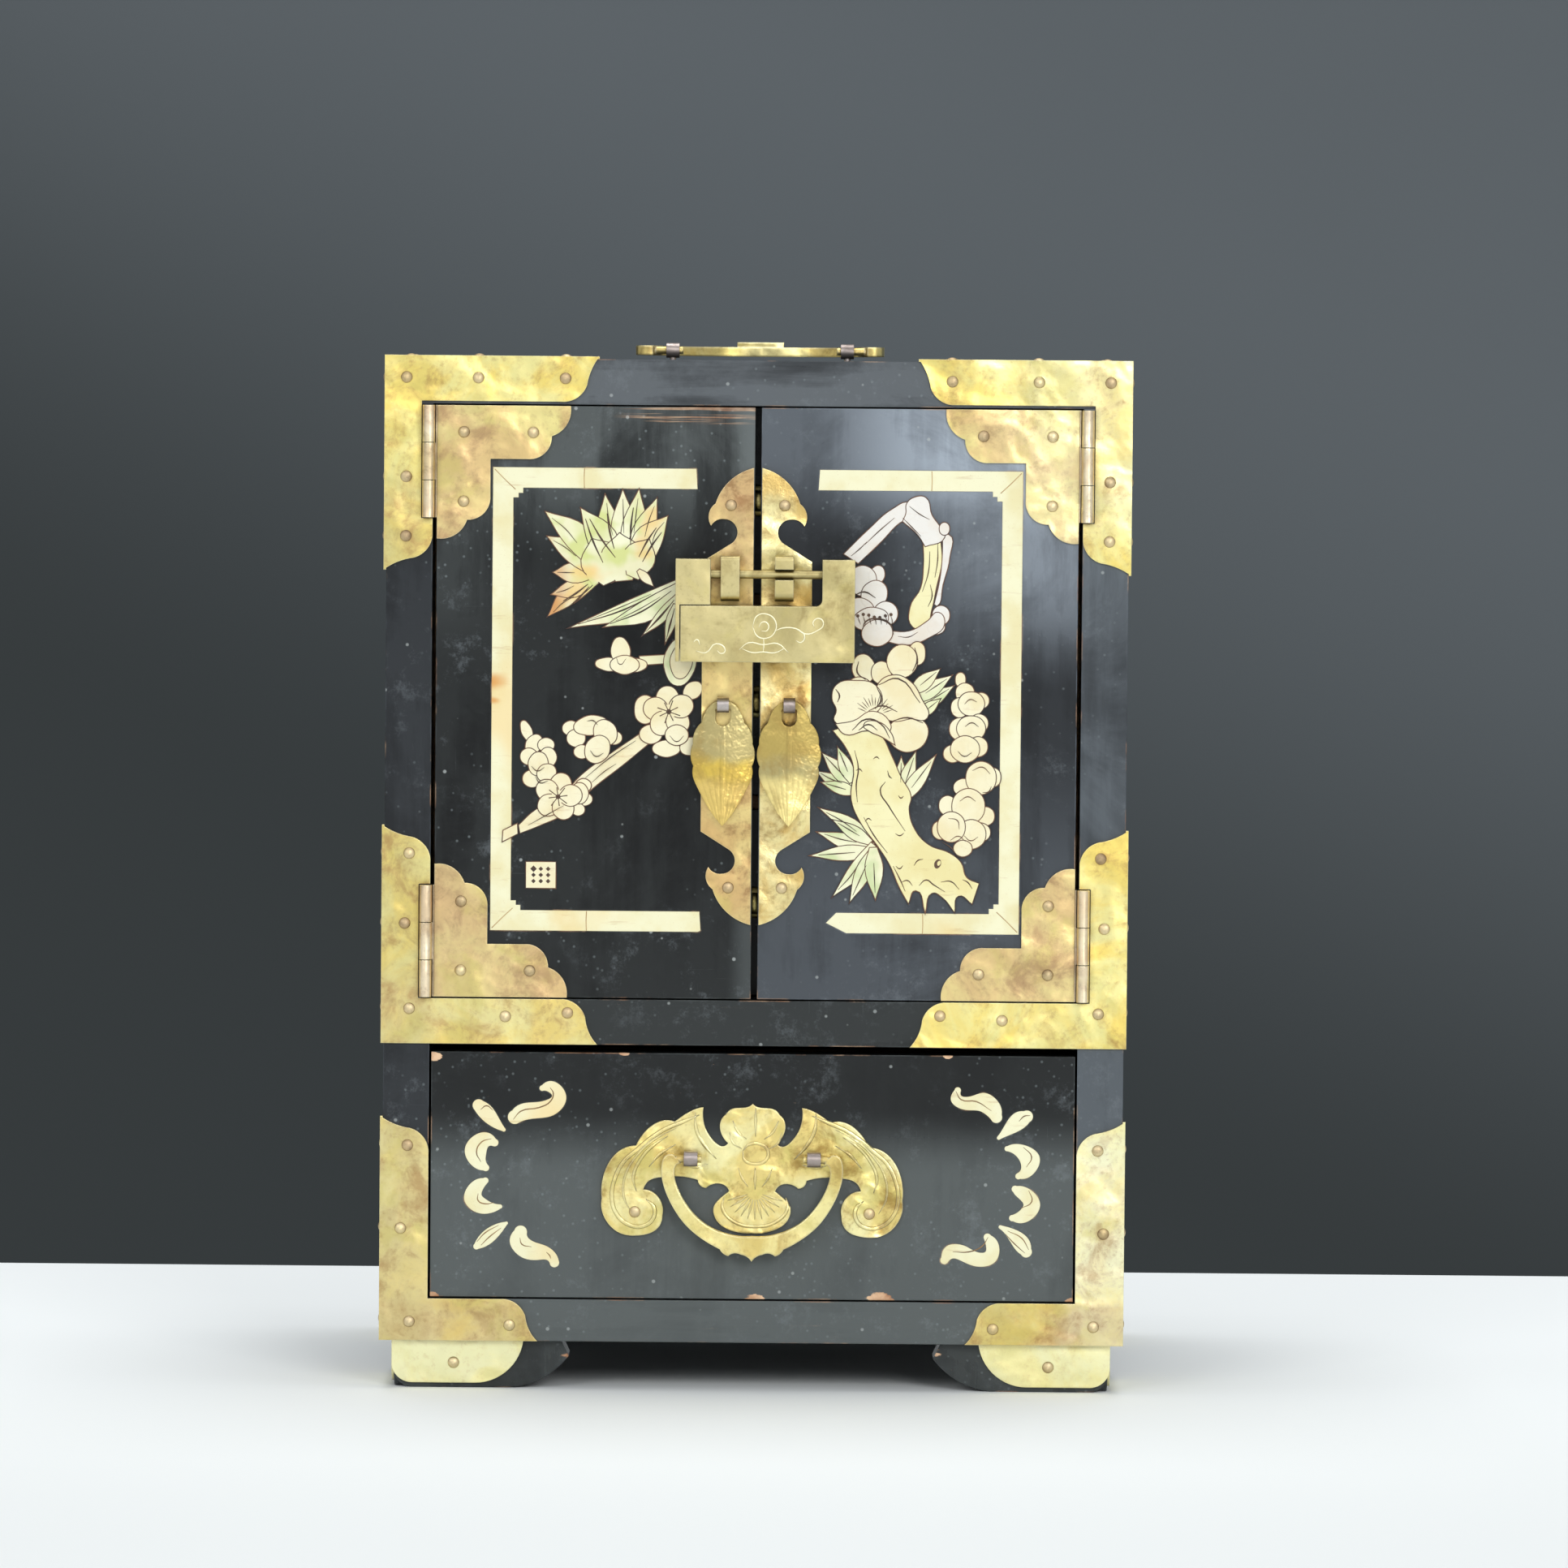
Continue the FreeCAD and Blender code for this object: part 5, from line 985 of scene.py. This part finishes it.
# %% Leaf tufts
tufts = Inlay("door_right_tufts", "door_right")
TUFTS = [
    ((30.1, 186.9), (18.6, 192.1), 4, 0.04), ((30.1, 187.6), (20.5, 197.6), 4.6, 0),
    ((29.7, 188.8), (25.2, 199.4), 4, 0), ((31, 185.6), (20.4, 188.6), 3.8, 0),
    ((36, 170.6), (19.9, 180.6), 4.4, -0.03), ((36.4, 169), (19.3, 173.2), 4.8, 0.03),
    ((36.6, 167.6), (17.3, 166), 4.6, 0), ((35.6, 170.2), (24, 177), 4, 0),
    ((36.4, 169.6), (24.2, 153.6), 4.6, 0.04), ((36.4, 168), (29.4, 151.9), 4.6, 0),
    ((36.4, 168.6), (37.2, 152.8), 5.4, 0), ((44.6, 184), (44.8, 196.4), 4.2, 0),
    ((44.6, 184), (49.2, 198.2), 4.4, 0), ((45, 183), (55.2, 197), 4.6, 0),
    ((49.6, 211.6), (60.6, 218.6), 4.4, 0), ((48.6, 214), (60, 221.8), 4.6, 0),
    ((47.8, 216.6), (56.4, 223.8), 4.4, 0), ((50.4, 209.6), (56.6, 214.6), 3.4, 0),
]
for base, tip, width, bend in TUFTS:
    tufts.saw(blade(base, tip, width, bend), green_bone)
for base, tip, width, bend in TUFTS:
    tufts.vein(base, tip, 0.3, 0.88, bend * 0.6, 0.34)
tufts.set_in()

# %% [markdown]
# ### Right door: the trunk itself
# It is sawn from one broad sheet that was stained yellow, and it lies higher than the leaves,
# since it is glued over their stems. Its outline is soft but for the root tips, which stay sharp.

# %% Trunk
trunk = Inlay("door_right_trunk", "door_right", lift=0.42)
trunk.saw(shape([(23.8, 204.6), (28, 199.1), (30.2, 193.5), (29.6, 183.5), (32.5, 176.4), (38, 169),
    (41.6, 163.4), (44.6, 156.6), (47.4, 151.6), (49.6, 155.6), (52.6, 149), (54.6, 154.8), (58, 153.4),
    (61.6, 149), (62.8, 154), (67, 151.6), (69, 157.8), (65.2, 159.6), (63.4, 164.2), (60, 167),
    (53.4, 169.6), (49, 174.4), (47.2, 180.6), (47.8, 184.6), (44.8, 190.2), (41.6, 197.2), (38.4, 203.2),
    (33.6, 206.6), (28, 206)], (0, 8, 10, 13, 15, 16)), trunk_bone)
for spots in ([(30.4, 198.6), (31.6, 193), (31, 188), (31.4, 182.6)],
        [(33.4, 178), (36.6, 172.4), (40.8, 167)], [(42.6, 163), (44.8, 158.8), (46.4, 155.2)],
        [(40, 189), (38.4, 186.4), (41, 181.6), (46.2, 173.8)], [(40.6, 192.4), (41.2, 190.6), (42, 190)],
        [(44, 184.8), (44.8, 184), (45.6, 184.6)], [(43.2, 173), (44.6, 172.4), (45.8, 173.2)],
        [(43.4, 163), (44.6, 162.2), (45.6, 163.2)], [(49, 163.2), (50.2, 164.8), (51.8, 165.2)],
        [(33.8, 176.6), (34.8, 177.6), (35.8, 177)], [(30.9, 192.4), (32, 192.8), (32.8, 192)],
        [(36.2, 196), (37.2, 196.6), (38, 196)], [(45.2, 158), (47, 158.6), (48.6, 157)],
        [(50.6, 157), (52.8, 158.8), (55, 157.4), (58.6, 155.2)],
        [(57.4, 158.2), (60.4, 158.4), (63, 156)], [(64, 159), (65.6, 158.2), (67, 156.2)]):
    trunk.line(spots, 0.42)
trunk.saw(oval((56.3, 163.8), 1.5, 1, 70), brown_ink, rim=None)
trunk.saw(oval((56.7, 164), 0.8, 0.5, 70), trunk_bone, rim=None)
trunk.set_in()

# %% [markdown]
# ### Right door: the bent bough
# The bough is pieced together from long strips of two bones, white and yellow, because a single
# bent strip would break along its grain. The strips are free outlines with sharp ends where two
# of them meet.

# %% Bent bough
bough = Inlay("door_right_bough", "door_right")
bough.saw(shape([(57, 263.6), (58.6, 265.2), (59, 258.2), (57, 249.8), (55.4, 243.4), (54.6, 243.8),
    (56.2, 251), (56.9, 257.6)], (0, 5)), white_bone)
bough.saw(shape([(51, 263), (56, 264.8), (56.6, 257), (55, 249), (53.6, 242), (51.6, 236.6),
    (47.9, 236.9), (47.2, 242.8), (50.4, 248.8), (51.2, 256)], (0, 1)), trunk_bone)
bough.saw(shape([(26.6, 259), (34, 266.4), (41.6, 273), (46.6, 274.8), (48.4, 271.4), (43.6, 268.8),
    (38.2, 263.2), (31, 256.2)], (0, 7)), white_bone)
bough.saw(shape([(45.8, 274.6), (48.4, 276.6), (51.6, 276.4), (53.4, 271.2), (56.2, 267.2), (57.4, 264.4),
    (51.6, 261.6), (49.2, 265.2), (44.6, 269.2), (45.6, 271.6)], (6, 8)), white_bone)
bough.saw(oval((57.4, 267), 1.5, 1.9), white_bone)
cluster(bough, [(56.6, 240.4, 2.6, 2.9, 0), (55.2, 236.8, 2.6, 2.2, 0)], white_bone)
bough.saw(shape([(40, 235.4), (47, 235.4), (52.6, 238.6), (55.8, 241.2), (57.6, 237.6), (53, 233.6),
    (46, 231.2), (40.4, 232.2)], (0, 7)), white_bone)
for spots in ([(46.6, 273.8), (49.8, 271.4), (52.8, 269.8)],
        [(44.6, 270.2), (47.4, 267.4), (50.2, 264.6)], [(53, 260), (52.6, 253.6), (50.8, 247.6)],
        [(55.4, 262.4), (55.4, 257.2), (54.6, 252)], [(53.2, 249.8), (53.8, 246.2), (52.6, 243)],
        [(33, 262), (37.6, 266.4), (42, 270.2)], [(28.8, 258.4), (31.4, 260.6), (33.6, 262.8)],
        [(43.4, 233.8), (46.6, 233.6), (49.6, 235.2)]):
    bough.line(spots, 0.34)
bough.set_in()

# %% [markdown]
# ### Right door: the big blossom
# This is the thickest part of the picture: white buds above, a big blossom of broad petals below,
# and rays scratched into its heart. The petals overlap, so they are laid from back to front.

# %% Big blossom and its neighbours
big = Inlay("door_right_big_blossom", "door_right", lift=0.5)
cluster(big, [(36.8, 252.6, 2.9, 2.2, 70), (32.4, 250.8, 4.2, 4.6, 0), (36, 246.6, 4.4, 3.8, 60),
    (31.4, 241.4, 4.6, 4, 0), (39.6, 240.8, 3.6, 3.6, 0), (35, 239, 5.4, 3.4, 10)], white_bone)
big.saw(oval((37, 234.8), 4.7, 3.9, 8), white_bone)
cluster(big, [(33, 223.8, 4.4, 3.4, 100), (38.4, 222.6, 3, 3.4, 0), (49.4, 228.6, 2.4, 3.6, 0),
    (44.8, 226.2, 5, 4.6, 80), (31.6, 218.4, 3.6, 2.6, 0)])
PETALS = [
    ([(51.8, 207.4), (47, 208.6), (42, 207.2), (40.8, 203.4), (43.6, 199.2), (48.4, 198.6), (52.6, 202.6)],
    ()),
    ([(37.2, 218.4), (41.8, 221.8), (47.2, 220), (50.8, 214.6), (52.6, 208.8), (47.6, 208.6), (42, 207.8),
    (38, 210)], (5,)),
    ([(23.4, 214.6), (24.8, 218.8), (30.6, 220), (36.6, 218.6), (38.6, 213), (35.8, 209.6), (30, 206.4),
    (24.2, 207.6), (24.8, 211)], ()),
    ([(24.6, 206.6), (30, 207.6), (36, 210.6), (41.4, 206.4), (40.6, 203.6), (34, 204.8), (27.4, 203.6)],
    (0, 4)),
    ([(33.2, 206.4), (37.4, 207.4), (41.6, 203.8), (42.6, 200.6), (38.6, 203), (35, 204.6)], (3,)),
]
for points, corners in PETALS:
    big.saw(shape(points, corners), petal_bone)
for spots in ([(29.6, 204.8), (33.8, 208.2), (38.4, 206.8), (41.2, 202.4)],
        [(31.6, 204.8), (34.6, 206.6), (37.4, 204.8)], [(34.6, 210.8), (38.8, 212.4), (43.4, 210.6)],
        [(41.6, 207.6), (46.6, 208.8), (51.4, 207.2)], [(37, 218.2), (38.4, 214.4), (36.6, 211.4)],
        [(24.4, 217.4), (25.6, 215.4), (25, 213.4)], [(37.6, 218.8), (43.6, 220.8), (50.4, 213.4)],
        [(31.4, 226), (31, 222.6), (33.6, 220.4)], [(48.6, 230.4), (49.4, 226.6), (48, 223)],
        [(30, 246.4), (33, 247.4), (36.4, 245.6)]):
    big.line(spots, 0.5)
heart = Vector((36.4, 209.4))
for index in range(13):
    out = toward(18 + 11.5 * index)
    big.line([heart + out * 3, heart + out * 4.2, heart + out * (5.6 + 0.9 * (index % 2))], 0.26)
for index in range(7):
    big.saw(oval((31 + 1.7 * index, 240 + 0.5 * math.sin(index * 1.3)), 0.5), brown_ink, rim=None)
    big.line([(31 + 1.7 * index, 240), (31.4 + 1.7 * index, 238.6), (31.9 + 1.6 * index, 237.4)], 0.26)
big.line([(32.6, 236), (33.4, 238.2), (37, 239.2), (41, 237.6), (42, 234.4)], 0.44)
big.set_in()

# %% [markdown]
# ### Right door: the hanging cluster
# Small round flowers hang in a row down the right side. From a step away they read as ovals
# pressed together, so each is one oval with a short curved scratch for its lip.

# %% Hanging cluster
strand = Inlay("door_right_strand", "door_right")
cluster(strand, [(62.8, 220.6, 1.5, 2.2, 0), (64.2, 216.6, 2.8, 2.9, 0), (69.2, 214.2, 2.4, 2.4, 0),
    (62.6, 212, 2.6, 3, 0), (66.2, 213.2, 3.6, 4, 90), (68.6, 207.2, 2.8, 2.8, 0),
    (62.8, 205.4, 3.2, 3.4, 0), (66.2, 205.6, 3.8, 4.4, 90), (60.6, 197.8, 2.8, 2.6, 0),
    (68.4, 200, 2.9, 3, 0), (64.4, 199.2, 4.4, 4, 0), (73.2, 190.6, 2.2, 2.9, 0), (64, 187.4, 3, 2.6, 0),
    (69.4, 190.4, 4.6, 5, 0), (59.2, 181.8, 2.6, 3, 0), (71, 178.6, 2.6, 2.8, 0),
    (65.6, 181.6, 5, 5.4, 0), (57, 174.2, 2.4, 2.8, 0), (69.4, 173.6, 3, 2.8, 0),
    (66.6, 173, 4.4, 4.4, 0), (60.4, 175.2, 4.2, 4.6, 0), (64, 168.6, 2.8, 2.4, 0)])
for centre, radius, sweep in (((66.2, 212.4), 2.2, (40, 160)), ((66.4, 205), 2.4, (30, 150)),
        ((64.4, 199.4), 2.4, (200, 330)), ((69.2, 190.6), 3.2, (20, 140)),
        ((65.4, 181.8), 2.8, (30, 150)), ((60.4, 175.4), 2.6, (-20, 110)),
        ((66.6, 173.4), 2.4, (200, 330)), ((62.4, 169.8), 2.6, (20, 150)),
        ((70.6, 187.8), 2, (250, 360))):
    strand.line(arc(centre, radius, *sweep), 0.34, rim_ink)
strand.line([(57.6, 170.6), (60.4, 168.8), (62.6, 166.2), (65, 165.6)], 0.4)
strand.set_in()

# %% [markdown]
# ## Seams and ink on the let-in bone
# The frames are made of short bars with mitred corners, since bone comes only in short lengths,
# and hair-thin seams show where the bars meet. A seam is too fine to cut into the CAD piece, so
# it is laid on as a thin brown line, drawn once for both doors and mirrored.

# %% Seams of the bone frames
for side, sign in (("left", -1), ("right", 1)):
    seams = Inlay(f"door_{side}_seams", f"door_{side}", door_front, lift=0)
    for spots in ([(81, 284.2), (77.6, 280.8), (74.6, 278)], [(81, 142.8), (77.6, 146.2), (74.6, 149)],
            [(53.4, 284.6), (53.5, 281.6), (53.4, 278.6)], [(51.8, 148.2), (51.9, 145.2), (51.8, 142.2)]):
        seams.line([(sign * x, z) for x, z in spots], 0.3, seam_ink, rise=0, taper=1)
    seams.set_in()

# %% [markdown]
# ### Ink on the drawer strokes
# The curved strokes at both ends of the drawer are let in flush, and a single line of thin brown
# ink along each gives it a fold. The lines are finer and paler than those of the pictures.

# %% Lines on the drawer strokes
marks = Inlay("drawer_stroke_lines", "deep_drawer", drawer_front, lift=0)
STROKES = [
    [(-73.9, 83.6), (-71.6, 86.2), (-65.9, 87.4), (-62.6, 89.2), (-61.6, 91.8), (-62.6, 93.6)],
    [(-84, 86.6), (-82.2, 87.8), (-80.2, 86.4)], [(-80.6, 77.6), (-83.6, 76.6), (-85.2, 73.4),
    (-83.8, 70.4)], [(-84.6, 60.6), (-84.6, 58.4), (-82.2, 57.4), (-79.8, 57.8)],
    [(-84.9, 45.6), (-82.4, 48.4), (-78.2, 50.8)], [(-83.6, 44.6), (-81, 47.2), (-77.4, 50)],
    [(-71.6, 47), (-71, 45), (-68, 44.2)], [(-63.4, 42.6), (-62.4, 41.6), (-62, 40.6)],
    [(62.6, 93.6), (64.2, 91), (69, 90.4), (73.6, 87.6)], [(85.6, 86.2), (83.8, 86), (82.2, 84.4)],
    [(83.6, 76.4), (86.2, 73.4), (84.6, 70.2)], [(85.4, 63), (86.4, 59.6), (83, 57.4)],
    [(79, 50.4), (83.4, 48.2), (85.6, 44.6)], [(78.4, 49.4), (81, 46.6), (84.4, 43.6)],
    [(62.2, 43.8), (67, 43.8), (71.2, 45.6), (73, 48.4)],
]
for spots in STROKES:
    marks.line(spots, 0.4, stroke_ink, rise=0)
marks.set_in()

# %% [markdown]
# ## Scroll on the lock
# The lock's face carries a scratched scroll of leaves and a ring. A graver lifts a thin thread
# of metal, and the fresh cut shows bright in the tarnished brass, so the lines are clean metal.
# They could be cut in as grooves, but at a hair's width only their brightness is seen.

# %% Lock engraving
def clean_brass(name, bright, dull):
    """Freshly cut metal that is only a little uneven."""
    mix = Recipe(name)
    mix.finish(Metallic=1, Roughness=0.4)
    return mix.finish(Base_Color=mix.blend(mix.noise(160, 3), bright, dull))


bright_line = clean_brass("bright_line", srgb(255, 252, 222), srgb(255, 244, 196))
scroll = Inlay("lock_scroll", "lock_case", low("lock_case").y, "brass", lift=0)
SCROLL = [
    [(-1.3, 236.8), (0, 240), (3, 240.6), (5.7, 238.4), (5.4, 234.9), (3, 233.2), (0.2, 233.8),
    (-1.3, 236.8)], [(0.6, 236.6), (1.8, 238.2), (3.4, 237.6), (3.2, 235.6), (1.4, 235.4)],
    [(2.1, 233.2), (2.2, 231), (2, 228.9)], [(-5.4, 229.6), (-2.4, 231.8), (2, 231.2), (6.4, 231.6),
    (9.8, 228.8)], [(-4.6, 230), (-1.4, 228.8), (2, 229), (5.6, 228.8), (8.6, 230.2)],
    [(5.4, 235.4), (8, 236.4), (12, 236.2), (15, 234.6), (18.4, 235.6), (20.4, 237.6), (19.2, 239.4),
    (17.2, 238.2), (17.6, 236.8)], [(12.4, 236), (14.6, 234.2), (13.6, 232), (12, 232.6)],
    [(-18.6, 229.2), (-15.6, 228.6), (-12.4, 231.4), (-9.6, 229.4), (-10.8, 228.4), (-12.2, 229.4)],
    [(-19.4, 231.8), (-18.2, 232.6), (-17.4, 231)],
]
for spots in SCROLL:
    scroll.line(spots, 0.44, bright_line, rise=0, flat=0.25)
scroll.set_in()

# %% [markdown]
# ## Relief of the bat-shaped plate
# The drawer's plate is a bat with spread wings, stamped so that ridges stand up from the sheet:
# a contour along each wing that rolls into a scroll, feathers, a head, and rays on the tail.
# Flattened tubes along these lines stand for the ridges, each half sunk in the plate. What lies
# on both sides is written once, counted from the plate's middle, and mirrored.

# %% Ridges on the plate
BAT_MIDDLE = 0.9
relief = Inlay("drawer_bat_relief", "deep_drawer", low("drawer_bat_plate").y, "brass", lift=0)
PAIRED = [
    ([(12, 72), (16, 76.6), (18.4, 81.6), (18.6, 86.4)], 1.3),
    ([(17.4, 85.6), (22.6, 83.4), (27.4, 81.4), (32.2, 78.4), (36.6, 74.6), (40.6, 71), (43.4, 65.4),
    (44.2, 60), (42.6, 54.6), (38.8, 51.4), (34.6, 51), (31.4, 53.4), (31.2, 57), (33.6, 59.4)], 1.5),
    ([(27, 79), (31.6, 76), (35.6, 71.4), (37.6, 66), (36.6, 61.8)], 1.2),
    ([(24.6, 81.4), (31, 78), (36.6, 72.8), (40.2, 66.4), (40.4, 59.8), (38.2, 55.4)], 0.9),
    ([(24.6, 76.4), (29.4, 73.4), (32.8, 69.4)], 1.2), ([(14.6, 70.4), (18.6, 69.4), (22, 70.2)], 1.1),
    ([(7.1, 84), (5.3, 80.4), (2.7, 78.2)], 1.1), ([(8.1, 80.4), (6.9, 77), (4.1, 75.2)], 0.9),
    ([(5.3, 69.4), (3.9, 66), (2.1, 63.4)], 1),
]
SINGLE = [
    ([(0, 88), (0, 84), (0, 79)], 1.2), ([(0, 69.4), (0, 66), (0, 62.6)], 1.2),
    ([(-3.9, 74.6), (-3.3, 71.8), (0, 70.6), (3.3, 71.8), (3.9, 74.6), (1.9, 76.6), (-1.9, 76.6),
    (-3.9, 74.6)], 1.2),
    ([(-9.5, 60.2), (-10.1, 57), (-6.7, 52.8), (0, 51.2), (6.7, 52.8), (10.1, 57), (9.5, 60.2)], 1.2),
]


def ridge(spots, width, side=1, rise=-0.04):
    """One ridge, half sunk in the plate; side is -1 for its mirror image."""
    spots = [(side * x + BAT_MIDDLE, z) for x, z in spots]
    relief.line(spots, width, bat_brass, rise=rise, flat=0.34, taper=0.3)


for spots, width in PAIRED:
    ridge(spots, width)
    ridge(spots, width, -1)
for spots, width in SINGLE:
    ridge(spots, width)
heart = Vector((0, 61.8))
for index in range(11):
    out = toward(198 + 14.4 * index) * Vector((1, 0.95))
    ridge([heart + out * 2.4, heart + out * 5.4, heart + out * 9], 0.9, rise=-0.03)
relief.set_in()
